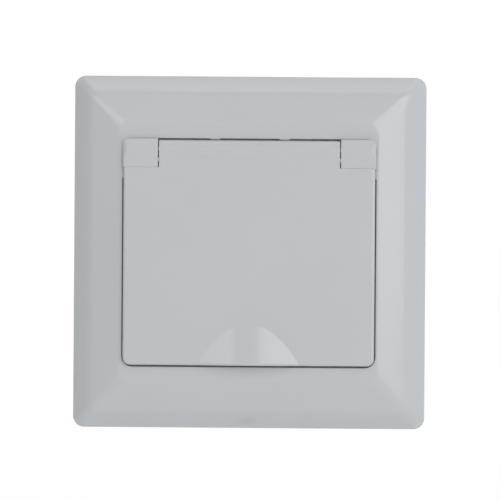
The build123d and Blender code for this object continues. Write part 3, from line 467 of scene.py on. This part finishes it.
# each line: inset at the sides, depth, inset at top and bottom, corner radius, cut
frame_section = soften([
    (0, 0, 0, CORNER, 0.15),
    (0, EDGE, 0, CORNER, 0.35),
    (BAND / 2, band_middle, BAND / 2, BAND_CORNER, 1.0),
    (BAND, BAND_TOP, BAND, SLOPE_CORNER, 1.3),
    (slope_middle, SLOPE_TOP, slope_middle, SLOPE_CORNER, 2.0),
    (SIDE - LAND, FRAME_FRONT, SIDE - LAND, OPENING_CORNER, 1.1),
    (SIDE - MOUTH, FRAME_FRONT, TOP - MOUTH, OPENING_CORNER, 0),
    (SIDE, FRAME_FRONT, TOP, OPENING_CORNER, MOUTH),
    (SIDE, LEDGE_FRONT, TOP, OPENING_CORNER, 0),
    (SIDE + LEDGE, LEDGE_FRONT, TOP + LEDGE, LEDGE_CORNER, 0.2),
    (SIDE + LEDGE, LEDGE_BACK, TOP + LEDGE, LEDGE_CORNER, 0.2),
    (SIDE - COLLAR, LEDGE_BACK, TOP - COLLAR, COLLAR_CORNER, 0.2),
    (SIDE - COLLAR, under, TOP - COLLAR, COLLAR_CORNER, 0.4),
    (BAND, BAND_TOP - WALL, BAND, UNDER_CORNER, 0.4),
    (WALL, EDGE, WALL, BACK_CORNER, 0.3),
    (WALL, 0, WALL, BACK_CORNER, 0.15),
])
frame_section.append(frame_section[0])
print("frame section:", len(frame_section), "points")

# %% [markdown]
# The section then goes through the tree. Twelve steps make a corner round enough, and
# edges that bend by more than the smooth angle stay crisp.

# %% The frame's ring
SMOOTH = radians(35)
CORNER_STEPS, HOLD = 12, 1.2 * MM
frame_ring = grow(ring_tree, section(frame_section), {
    "Half Width": FRAME_HALF * MM,
    "Half Height": FRAME_HALF * MM,
    "Corner Steps": CORNER_STEPS,
    "Hold": HOLD,
    "Smooth Angle": SMOOTH,
    "Material": white_abs,
})
print("frame ring:", len(frame_ring.polygons), "faces")

# %% [markdown]
# Behind the slope the frame is hollow, and eight thin ribs stiffen it: four square
# and four in the corners. A rib is one flat shape, repeated round the middle, so a
# small tree copies it, and stretches the corner ones by the diagonal of a square.

# %% A tree for ribs
rib_tree, given = new_tree("Ribs round a middle", {
    "Count": "Int",
    "First Angle": "Float",
    "Stretch": "Float",
    "Material": "Material",
})
t = rib_tree
places = add(t, "GeometryNodePoints", {"Count": given["Count"]}).outputs[0]
index = add(t, "GeometryNodeInputIndex").outputs[0]
apart = add(t, "ShaderNodeMath", {0: 2 * pi, 1: given["Count"]}, operation="DIVIDE").outputs[0]
turn = add(t, "ShaderNodeMath", {
    0: index, 1: apart, 2: given["First Angle"],
}, operation="MULTIPLY_ADD").outputs[0]
turn = add(t, "ShaderNodeCombineXYZ", {"Y": turn}).outputs[0]
longer = add(t, "ShaderNodeCombineXYZ", {"X": given["Stretch"], "Y": 1.0, "Z": 1.0}).outputs[0]
copies = add(t, "GeometryNodeInstanceOnPoints", {
    "Points": places, "Instance": given["Geometry"], "Rotation": turn, "Scale": longer,
}).outputs[0]
end_tree(t, copies, given["Material"])

# %% [markdown]
# One rib fills the hollow between the outer wall and the collar, and reaches a little
# into both. The collar lies further in at the sides than at the top and bottom, so the
# ribs come in three sets.

# %% Ribs
RIB = 1.2
SUNK = 0.2


def rib_shape(collar_inset):
    """One rib between the outer wall and the collar, as a flat prism along +X."""
    outline = [
        (WALL - SUNK, LEDGE_BACK - SUNK),
        (BAND, BAND_TOP - WALL + SUNK),
        (collar_inset + SUNK, under + SUNK),
        (collar_inset + SUNK, LEDGE_BACK),
        (BAND, LEDGE_BACK),
    ]
    shape = bmesh.new()
    flat = [shape.verts.new(((FRAME_HALF - x) * MM, -depth * MM, -RIB / 2 * MM)) for x, depth in outline]
    face = shape.faces.new(flat)
    grown = bmesh.ops.extrude_face_region(shape, geom=[face])["geom"]
    far = [v for v in grown if isinstance(v, bmesh.types.BMVert)]
    bmesh.ops.translate(shape, verts=far, vec=(0, 0, RIB * MM))
    bmesh.ops.recalc_face_normals(shape, faces=shape.faces)
    mesh = bpy.data.meshes.new("rib")
    shape.to_mesh(mesh)
    shape.free()
    return mesh


# each set: count, first angle, stretch, inset of the collar
rib_sets = [
    (2, 0, 1.0, SIDE - COLLAR),
    (2, 90, 1.0, TOP - COLLAR),
    (4, 45, sqrt(2), TOP - COLLAR),
]
frame_ribs = []
for count, first, stretch, inset in rib_sets:
    frame_ribs.append(grow(rib_tree, rib_shape(inset), {
        "Count": count,
        "First Angle": radians(first),
        "Stretch": stretch,
        "Material": white_abs,
    }))
print("ribs:", [len(mesh.polygons) for mesh in frame_ribs], "faces")

# %% [markdown]
# Two small nibs under the opening's top edge snap the frame over the centre plate, and
# they break the dark gap above the lid. Two flat cheeks close the gaps beside the lid
# for a short way below its hinge. All four are plain blocks with broken edges, so a
# bevelled cube each is enough.

# %% Nibs and cheeks
def rounded_block(low, high, rounding):
    """A block between two corners, in mm, with broken edges."""
    low, high = Vector(low) * MM, Vector(high) * MM
    shape = bmesh.new()
    bmesh.ops.create_cube(shape, size=1.0)
    bmesh.ops.scale(shape, vec=high - low, verts=shape.verts)
    bmesh.ops.translate(shape, vec=(low + high) / 2, verts=shape.verts)
    bmesh.ops.bevel(
        shape, geom=shape.edges[:], offset=rounding * MM, segments=3, profile=0.5, affect="EDGES",
    )
    mesh = bpy.data.meshes.new("block")
    shape.to_mesh(mesh)
    shape.free()
    return mesh


NIB_PLACES, NIB_HALF, NIB_PROUD = (-8.4, 8.4), 1.2, 0.23
CHEEK_TOP, CHEEK_TALL, CHEEK_PROUD = 20.7, 2.7, 0.26
BLOCK_SETBACK, BLOCK_EDGE = 0.05, 0.08                     # behind the frame's front; broken edges
opening_top, opening_side = FRAME_HALF - TOP, FRAME_HALF - SIDE
spans = []
for x in NIB_PLACES:
    spans.append(((x - NIB_HALF, x + NIB_HALF), (opening_top - NIB_PROUD, opening_top + COLLAR / 2)))
for sign in (-1, 1):
    ends = sorted((sign * (opening_side - CHEEK_PROUD), sign * (opening_side + COLLAR / 2)))
    spans.append((ends, (CHEEK_TOP - CHEEK_TALL, CHEEK_TOP)))
blocks = []
for (left, right), (bottom, top) in spans:
    low = (left, -FRAME_FRONT + BLOCK_SETBACK, bottom)
    high = (right, -LEDGE_FRONT - LEDGE_BACK, top)
    blocks.append(rounded_block(low, high, BLOCK_EDGE))
print("blocks:", len(blocks), "of", len(blocks[0].polygons), "faces")

# %% [markdown]
# The ring, the ribs and the blocks become one piece, as the real frame is one moulding.
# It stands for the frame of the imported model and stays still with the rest.

# %% The finished frame
bezel = joined("bezel_frame", [frame_ring] + frame_ribs + blocks, "white_plastic")
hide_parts("frame")
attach(bezel, "root")

# %% [markdown]
# Screws repeat more than anything else here: three for the wires, two for the rear
# cover, one in the middle and two long ones that spread the claws. All are slotted and
# have a real thread, so one tree makes them all. The head is a small ring from the
# first tree, with no straight sides, and a block cuts its slot.

# %% A tree for slotted screws: the head
screw_tree, given = new_tree("Slotted screws", {
    "Head": "Object",
    "Thread Radius": "Float",
    "Thread Depth": "Float",
    "Pitch": "Float",
    "Thread Start": "Float",
    "Thread End": "Float",
    "Rows": "Int",
    "Slot": "Vector",
    "Facing": "Float",
    "Material": "Material",
})
t = screw_tree
HEAD_STEPS = 9
profile = add(t, "GeometryNodeObjectInfo", {"Object": given["Head"]}).outputs["Geometry"]
head = add(t, "GeometryNodeGroup", node_tree=ring_tree)
fill(t, head, {"Geometry": profile, "Half Width": 0.0, "Half Height": 0.0})
fill(t, head, {"Corner Steps": HEAD_STEPS, "Smooth Angle": SMOOTH})
slot = add(t, "GeometryNodeMeshCube", {"Size": given["Slot"]}).outputs["Mesh"]
head = add(t, "GeometryNodeMeshBoolean", {
    "Mesh 1": head.outputs[0], "Mesh 2": slot,
}, operation="DIFFERENCE", solver="EXACT").outputs["Mesh"]
print("a head has", 4 * HEAD_STEPS, "sides")

# %% [markdown]
# The thread is a grid again. Its radius rises and falls once a pitch, and the rise
# climbs with the angle, which makes it a helix. Over the last turn the crest fades,
# and the first and last row shrink to a point each, which closes the ends.

# %% Slotted screws: the thread's radius
AROUND = 24
grid = add(t, "GeometryNodeMeshGrid", {
    "Vertices X": AROUND + 1, "Vertices Y": given["Rows"],
}).outputs["Mesh"]
row, column = rows_and_columns(t, given["Rows"])
turn = add(t, "ShaderNodeMath", {0: column, 1: AROUND}, operation="DIVIDE").outputs[0]
last = add(t, "ShaderNodeMath", {0: given["Rows"], 1: 2.0}, operation="SUBTRACT").outputs[0]
along = add(t, "ShaderNodeMapRange", {
    "Value": row, "From Min": 1.0, "From Max": last,
    "To Min": given["Thread Start"], "To Max": given["Thread End"],
}).outputs["Result"]
climb = add(t, "ShaderNodeMath", {0: along, 1: given["Pitch"]}, operation="DIVIDE").outputs[0]
climb = add(t, "ShaderNodeMath", {0: climb, 1: turn}, operation="ADD").outputs[0]
crest = add(t, "ShaderNodeMath", {0: climb, 1: 0.5}, operation="PINGPONG").outputs[0]
crest = add(t, "ShaderNodeMath", {0: crest, 1: 2.0}, operation="MULTIPLY").outputs[0]
left = add(t, "ShaderNodeMath", {0: given["Thread End"], 1: along}, operation="SUBTRACT").outputs[0]
left = add(t, "ShaderNodeMath", {0: left, 1: given["Pitch"]}, operation="DIVIDE").outputs[0]
left = add(t, "ShaderNodeMath", {0: left, 1: 1.0}, operation="MINIMUM").outputs[0]
crest = add(t, "ShaderNodeMath", {0: crest, 1: left}, operation="MULTIPLY").outputs[0]
fall = add(t, "ShaderNodeMath", {0: 1.0, 1: crest}, operation="SUBTRACT").outputs[0]
fall = add(t, "ShaderNodeMath", {0: fall, 1: given["Thread Depth"]}, operation="MULTIPLY").outputs[0]
radius = add(t, "ShaderNodeMath", {0: given["Thread Radius"], 1: fall}, operation="SUBTRACT").outputs[0]
first = add(t, "ShaderNodeMath", {0: row, 1: 0.5}, operation="GREATER_THAN").outputs[0]
final = add(t, "ShaderNodeMath", {0: row, 1: last}, operation="SUBTRACT").outputs[0]
final = add(t, "ShaderNodeMath", {0: final, 1: 0.5}, operation="LESS_THAN").outputs[0]
for open_row in (first, final):
    radius = add(t, "ShaderNodeMath", {0: radius, 1: open_row}, operation="MULTIPLY").outputs[0]
print("a thread has", AROUND, "sides")

# %% [markdown]
# The angle and the radius then give each point its place round the screw's axis. The
# grid closes on itself, and its faces are flipped so that they look outwards.

# %% Slotted screws: the thread's points
turn = add(t, "ShaderNodeMath", {0: turn, 1: 2 * pi}, operation="MULTIPLY").outputs[0]
cosine = add(t, "ShaderNodeMath", {0: turn}, operation="COSINE").outputs[0]
sine = add(t, "ShaderNodeMath", {0: turn}, operation="SINE").outputs[0]
round_x = add(t, "ShaderNodeMath", {0: cosine, 1: radius}, operation="MULTIPLY").outputs[0]
round_z = add(t, "ShaderNodeMath", {0: sine, 1: radius}, operation="MULTIPLY").outputs[0]
spot = add(t, "ShaderNodeCombineXYZ", {"X": round_x, "Y": along, "Z": round_z}).outputs[0]
thread = add(t, "GeometryNodeSetPosition", {"Geometry": grid, "Position": spot}).outputs[0]
thread = add(t, "GeometryNodeMergeByDistance", {"Geometry": thread, "Distance": MERGE}).outputs[0]
thread = add(t, "GeometryNodeFlipFaces", {0: thread}).outputs[0]
print("screw tree so far:", len(t.nodes), "nodes")

# %% [markdown]
# Head and thread are joined and copied to every place where such a screw sits. Each
# slot stops at an angle of its own, as on a real socket, so the places carry that angle.

# %% Slotted screws: the copies
screw = add(t, "GeometryNodeJoinGeometry", {0: head})
fill(t, screw, {0: thread})
slot_turn = add(t, "GeometryNodeInputNamedAttribute", {"Name": "slot turn"}, data_type="FLOAT").outputs[0]
facing = add(t, "ShaderNodeCombineXYZ", {"Y": slot_turn, "Z": given["Facing"]}).outputs[0]
copies = add(t, "GeometryNodeInstanceOnPoints", {
    "Points": given["Geometry"], "Instance": screw.outputs[0], "Rotation": facing,
}).outputs[0]
end_tree(t, copies, given["Material"])

# %% [markdown]
# Each kind of screw needs its head's section, its thread and its places. The head's
# points run from the middle of its face to the middle of its underside, as a radius
# and a depth below the face. The thread's sizes are given in millimetres, and eight
# rows to a pitch are enough to show its flanks.

# %% Make one kind of screw
SLOT = 0.7
SLOT_OVER = 2.2
ROWS_PER_PITCH = 8
FROM_BEHIND = pi


def head_section(outline):
    """A head's (radius, depth) outline in mm as a carrier object for the screw tree."""
    points = [(-radius, -depth, -radius, radius) for radius, depth in outline]
    return carry("head section", section(points))


def place_mesh(places):
    """Points where screws go, in mm, each with the angle at which its slot stopped."""
    mesh = bpy.data.meshes.new("places")
    mesh.from_pydata([Vector(place[:3]) * MM for place in places], [], [])
    angles = mesh.attributes.new("slot turn", "FLOAT", "POINT")
    angles.data.foreach_set("value", [radians(place[3]) for place in places])
    return mesh


def make_screws(name, node, body, outline, thread, places, facing=0.0):
    """One body's screws of a kind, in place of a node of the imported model."""
    widest = max(radius for radius, depth in outline)
    head_holder = head_section(outline)
    mesh = grow(screw_tree, place_mesh(places), {
        "Head": head_holder,
        "Thread Radius": thread["radius"] * MM,
        "Thread Depth": thread["depth"] * MM,
        "Pitch": thread["pitch"] * MM,
        "Thread Start": thread["start"] * MM,
        "Thread End": thread["end"] * MM,
        "Rows": int((thread["end"] - thread["start"]) / thread["pitch"] * ROWS_PER_PITCH) + 3,
        "Slot": Vector((SLOT_OVER * widest, 2 * SLOT, SLOT)) * MM,
        "Facing": facing,
        "Material": zinc,
    })
    bpy.data.objects.remove(head_holder)
    screws = joined(name, [mesh], "plated_steel")
    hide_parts(node)
    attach(screws, body)


# %% [markdown]
# A claw screw's head is half a ball, flat in front, so that it can tilt in its hole
# while the claw spreads. Each of the two turns on its own, so each is its own piece.

# %% Claw screws
BALL = 3.0
NECK, NECK_DEEP = 1.3, 2.6
CLAW_SLOT_TURN = 20
ball_head = [(0, 0), (BALL - 0.15, 0)]
ball_head += [(BALL * cos(radians(a)), BALL * sin(radians(a))) for a in range(3, 55, 4)]
ball_head += [(NECK, NECK_DEEP), (0, NECK_DEEP)]
for side, sign in (("right", 1), ("left", -1)):
    low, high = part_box("claw_screw_" + side)
    front, tip = low[1] / MM, high[1] / MM
    middle = (low[0] + high[0]) / 2 / MM
    make_screws(
        "claw_screw_thread_" + side, "claw_screw_" + side, "claw_screw_" + side, ball_head,
        thread=dict(radius=1.75, depth=0.32, pitch=0.6, start=2.2, end=tip - front),
        places=[(middle, front, 0, CLAW_SLOT_TURN * sign)],
    )

# %% [markdown]
# The wire screws have tall cheese heads with a deep slot, and the cover screws small
# countersunk ones. Both sit behind and face away from the room. Their places follow
# from the box round them, which ends one head's radius past the outermost axis.

# %% Wire screws and cover screws
CHEESE, CHEESE_TALL = 2.9, 1.9
cheese_head = [
    (0, 0), (CHEESE - 0.5, 0), (CHEESE - 0.15, 0.14), (CHEESE, 0.5),
    (CHEESE, CHEESE_TALL - 0.1), (CHEESE - 0.1, CHEESE_TALL), (0, CHEESE_TALL),
]
low, high = (Vector(corner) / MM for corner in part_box("terminal_screws"))
wire_places = [
    (high.x - CHEESE, high.y, low.z + CHEESE, 24),
    (low.x + CHEESE, high.y, low.z + CHEESE, 71),
    (0, high.y, high.z - CHEESE, -38),
]
make_screws(
    "wire_screws", "terminal_screws", "root", cheese_head,
    thread=dict(radius=1.6, depth=0.3, pitch=0.6, start=1.7, end=6.5),
    places=wire_places, facing=FROM_BEHIND,
)

FLAT, FLAT_DEEP = 2.0, 0.95
flat_head = [(0, 0), (FLAT - 0.05, 0), (FLAT, 0.06), (1.1, FLAT_DEEP), (0, FLAT_DEEP)]
low, high = (Vector(corner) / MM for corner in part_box("cover_screws"))
make_screws(
    "rear_cover_screws", "cover_screws", "root", flat_head,
    thread=dict(radius=1.1, depth=0.22, pitch=0.45, start=0.8, end=7.0),
    places=[(0, high.y, high.z - FLAT, 33), (0, high.y, low.z + FLAT, -12)], facing=FROM_BEHIND,
)

# %% [markdown]
# The middle screw holds the centre plate and the frame. Its head is sunk in the well's
# floor, where it shows when the lid is open.

# %% Middle screw
SUNK_HEAD, SUNK_DEEP = 2.9, 1.45
sunk_head = [(0, 0), (SUNK_HEAD - 0.07, 0), (SUNK_HEAD, 0.08), (1.5, SUNK_DEEP), (0, SUNK_DEEP)]
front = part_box("centre_screw")[0][1] / MM
make_screws(
    "middle_screw", "centre_screw", "root", sunk_head,
    thread=dict(radius=1.5, depth=0.28, pitch=0.5, start=1.3, end=9.0),
    places=[(0, front, 0, 8)],
)

# %% [markdown]
# A small torsion spring on the hinge pin shuts the lid. It is one round steel wire, so
# a tree carries a circle along a path, closes the ends and keeps the two cut faces flat.

# %% A tree for round wire
WIRE_SIDES, CUT_ANGLE = 10, radians(50)
wire_tree, given = new_tree("Round wire", {"Wire Radius": "Float", "Material": "Material"})
t = wire_tree
path = add(t, "GeometryNodeMeshToCurve", {0: given["Geometry"]}).outputs[0]
ring = add(t, "GeometryNodeCurvePrimitiveCircle", {
    "Resolution": WIRE_SIDES, "Radius": given["Wire Radius"],
}).outputs[0]
wire = add(t, "GeometryNodeCurveToMesh", {
    "Curve": path, "Profile Curve": ring, "Fill Caps": True,
}).outputs[0]
end_tree(t, shade(t, wire, CUT_ANGLE), given["Material"])

# %% [markdown]
# The wire has a leg in the lid's loop, seven close turns, and a leg that leans on the
# plate behind. The points follow the helix, with the two legs as tangents at its ends.

# %% The spring's path
joints = {joint["name"]: joint for joint in frame["record"]["behaviour"]["joints"]}
hinge = Vector(joints["lid_hinge"]["pos_m"])
WIRE, COIL, PITCH = 0.4 * MM, 0.975 * MM, 0.55 * MM        # wire's diameter, coil's radius, one turn
LID_LEAN, FIXED_LEAN = 8, 37                               # degrees by which the two legs lean
LID_LEG = 5.6 * MM
FULL_TURNS, COIL_STEPS = 7, 240
turns = FULL_TURNS - (FIXED_LEAN - LID_LEAN) / 360
coil_half = turns * PITCH / 2


def on_coil(degrees):
    """A point of the coil, by the angle that its helix has turned from the lid's leg."""
    around = radians(degrees - LID_LEAN)
    return hinge + Vector((degrees / 360 * PITCH - coil_half, COIL * cos(around), COIL * sin(around)))


coil = [on_coil(turns * 360 * i / COIL_STEPS) for i in range(COIL_STEPS + 1)]
lid_end = coil[0] + (coil[0] - coil[1]).normalized() * LID_LEG
lean = radians(FIXED_LEAN)
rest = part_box("lid_spring")[1][1] - WIRE / 2 * cos(lean)
fixed_end = coil[-1] + Vector((0, sin(lean), cos(lean))) * ((rest - coil[-1].y) / sin(lean))
route = [lid_end] + coil + [fixed_end]
print("spring path:", len(route), "points,", round(turns, 2), "turns")

# %% The lid's spring
spring_path = bpy.data.meshes.new("spring path")
spring_path.from_pydata(route, [(i, i + 1) for i in range(len(route) - 1)], [])
spring_mesh = grow(wire_tree, spring_path, {"Wire Radius": WIRE / 2, "Material": spring_steel})
spring = joined("closing_spring", [spring_mesh], "spring_steel")
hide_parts("lid_spring")
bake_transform(spring)

# %% [markdown]
# The photo was taken from far off and almost square on: the camera stands a degree
# to the right and a degree above, and is rolled a little. A long lens from three metres
# keeps the frame's sides parallel, and the width of the view gives the lens.

# %% Camera
CAMERA_FAR = 3.0
VIEW_WIDTH = 0.121
CAMERA_SIDE, CAMERA_UP, CAMERA_ROLL = radians(1.4), radians(1.1), radians(0.4)
AIM = Vector((0.035, 0, 0.57)) * MM


def towards(side, up):
    """The direction at an angle to the right of the front, and above it."""
    return Vector((sin(side) * cos(up), -cos(side) * cos(up), sin(up)))


camera_data = bpy.data.cameras.new("camera")
camera = carry("camera", camera_data)
bpy.context.scene.camera = camera
camera_data.lens = camera_data.sensor_width * CAMERA_FAR / VIEW_WIDTH
camera_data.clip_end = 50
way = towards(CAMERA_SIDE, CAMERA_UP)
camera.location = AIM + way * CAMERA_FAR
camera.rotation_mode = "QUATERNION"
roll = Matrix.Rotation(CAMERA_ROLL, 3, "Z").to_quaternion()
camera.rotation_quaternion = way.to_track_quat("Z", "Y") @ roll
print("lens:", round(camera_data.lens), "mm")

# %% [markdown]
# The key light is a large softbox to the right of the camera. It begins close beside
# it, so the flat lid mirrors the room while the curved grip catches the box's near edge.
# A low, warm fill on the left does the same for the grip's other side, a lamp overhead
# brightens the frame's top band, and a weak one behind is there for views from the back.
# A softbox is given by the directions that it fills, in degrees, its size and distance
# in metres, and its level, where 1 is as bright as white.

# %% Lamps
COOL, WARM, WHITE = linear("#F8FBFF"), linear("#FFF7EF"), linear("#FFFFFF")


def softbox(name, azimuths, height, tall, distance, level, colour=COOL):
    """A rectangular light that fills the azimuths from first to last, seen from the socket."""
    first, last = azimuths
    spread = radians(abs(last - first) / 2)
    lamp = bpy.data.lights.new(name, "AREA")
    lamp.shape = "RECTANGLE"
    lamp.size, lamp.size_y = 2 * distance * tan(spread), tall
    lamp.energy = pi * level * lamp.size * lamp.size_y
    lamp.color = colour[:3]
    holder = carry(name, lamp)
    reach = towards(radians((first + last) / 2), radians(height))
    holder.location = reach * distance
    holder.rotation_mode = "QUATERNION"
    holder.rotation_quaternion = reach.to_track_quat("Z", "Y")
    holder.visible_camera = False
    print(name, "is", round(lamp.size, 2), "by", tall, "m")


softbox("key light", (8.2, 48), height=19, tall=1.2, distance=1.3, level=1.8)
softbox("fill light", (-13, -44), height=22, tall=0.35, distance=1.3, level=1.38, colour=WARM)
softbox("light from above", (-25, 25), height=85, tall=0.5, distance=1.3, level=1.0)
softbox("back light", (125, 175), height=35, tall=1.0, distance=1.5, level=0.4)

# %% [markdown]
# The background of the photo is pure white. The world is white for the camera and for
# mirrored rays, and only moderately bright for the light that falls on the socket, so
# that its own colours keep their level. The room is warmer and darker on the left, as
# the photo's left slope shows.

# %% World
def seen_directly(tree):
    """One where the camera, a mirror or a clear body looks, and zero for light that falls."""
    path = add(tree, "ShaderNodeLightPath").outputs
    seen = path["Is Camera Ray"]
    for ray in ("Is Glossy Ray", "Is Transmission Ray"):
        seen = add(tree, "ShaderNodeMath", {0: seen, 1: path[ray]}, operation="MAXIMUM").outputs[0]
    return seen


ROOM_LEFT, ROOM_RIGHT = 0.31, 0.67
world = bpy.data.worlds.new("studio")
bpy.context.scene.world = world
world.use_nodes = True
tree = world.node_tree
tree.nodes.clear()
ray = add(tree, "ShaderNodeTexCoord").outputs["Generated"]
across = add(tree, "ShaderNodeSeparateXYZ", {0: ray}).outputs["X"]
across = add(tree, "ShaderNodeMapRange", {"Value": across, "From Min": -1.0}).outputs["Result"]
tint = add(tree, "ShaderNodeMix", {0: across, "A": WARM, "B": COOL}, data_type="RGBA")
level = add(tree, "ShaderNodeMapRange", {"Value": across, "To Min": ROOM_LEFT, "To Max": ROOM_RIGHT})
room = add(tree, "ShaderNodeBackground", {
    "Color": tint.outputs["Result"], "Strength": level.outputs["Result"],
})
backdrop = add(tree, "ShaderNodeBackground", {"Color": WHITE, "Strength": 1.0})
sky = add(tree, "ShaderNodeMixShader", {
    0: seen_directly(tree), 1: room.outputs[0], 2: backdrop.outputs[0],
})
add(tree, "ShaderNodeOutputWorld", {"Surface": sky.outputs[0]})
print("room light from", ROOM_LEFT, "on the left to", ROOM_RIGHT, "on the right")

# %% [markdown]
# The floor is one wide sheet some way below the socket, as if the socket hung over a
# table. A single face is enough, because only its shadow and its edge far away matter.

# %% Floor
FLOOR_BELOW, FLOOR_HALF = 30 * MM, 4.0
floor_z = frame_low[2] - FLOOR_BELOW
floor_mesh = bpy.data.meshes.new("floor")
corners = ((-1, -1), (1, -1), (1, 1), (-1, 1))
floor_mesh.from_pydata([(x * FLOOR_HALF, y * FLOOR_HALF, floor_z) for x, y in corners], [], [(0, 1, 2, 3)])
floor = carry("floor", floor_mesh)
print("floor at", round(floor_z / MM, 1), "mm")

# %% [markdown]
# The sheet is matt white paper with a trace of fibre. It should fade into the white
# background and still show a soft shadow. So it adds a white of its own to the light
# that it receives, more of it far away where the lamps are weak, and only a little of
# it falls on the socket.

# %% White paper
FLOOR_GLOW = 0.23
NEAR, NEAR_WHITE = 0.2, 0.46
FAR, FAR_WHITE = 2.2, 0.63
paper = bpy.data.materials.new("matt white paper")
paper.use_nodes = True
tree = paper.node_tree
tree.nodes.clear()
place = add(tree, "ShaderNodeTexCoord").outputs["Object"]
fibre = add(tree, "ShaderNodeTexNoise", {"Vector": place, "Scale": 1 / (2 * MM), "Detail": 3.0})
tone = add(tree, "ShaderNodeMix", {
    0: fibre.outputs["Fac"], "A": linear("#E4E4E4"), "B": linear("#E9E9E9"),
}, data_type="RGBA")
matt = add(tree, "ShaderNodeBsdfDiffuse", {"Color": tone.outputs["Result"]})
away = add(tree, "ShaderNodeVectorMath", {0: place}, operation="LENGTH").outputs["Value"]
lift = add(tree, "ShaderNodeMapRange", {
    "Value": away, "From Min": NEAR, "From Max": FAR, "To Min": NEAR_WHITE, "To Max": FAR_WHITE,
})
glow = add(tree, "ShaderNodeMapRange", {
    "Value": seen_directly(tree), "To Min": FLOOR_GLOW, "To Max": lift.outputs["Result"],
})
shine = add(tree, "ShaderNodeEmission", {"Color": WHITE, "Strength": glow.outputs["Result"]})
look = add(tree, "ShaderNodeAddShader", {0: matt.outputs[0], 1: shine.outputs[0]})
add(tree, "ShaderNodeOutputMaterial", {"Surface": look.outputs[0]})
floor_mesh.materials.append(paper)
print("floor white from", NEAR_WHITE, "near to", FAR_WHITE, "far")

# %% [markdown]
# Last, colours are shown as rendered, with no film curve, and the scene is brought up to date.

# %% View and update
bpy.context.scene.view_settings.view_transform = "Standard"
bpy.context.view_layer.update()
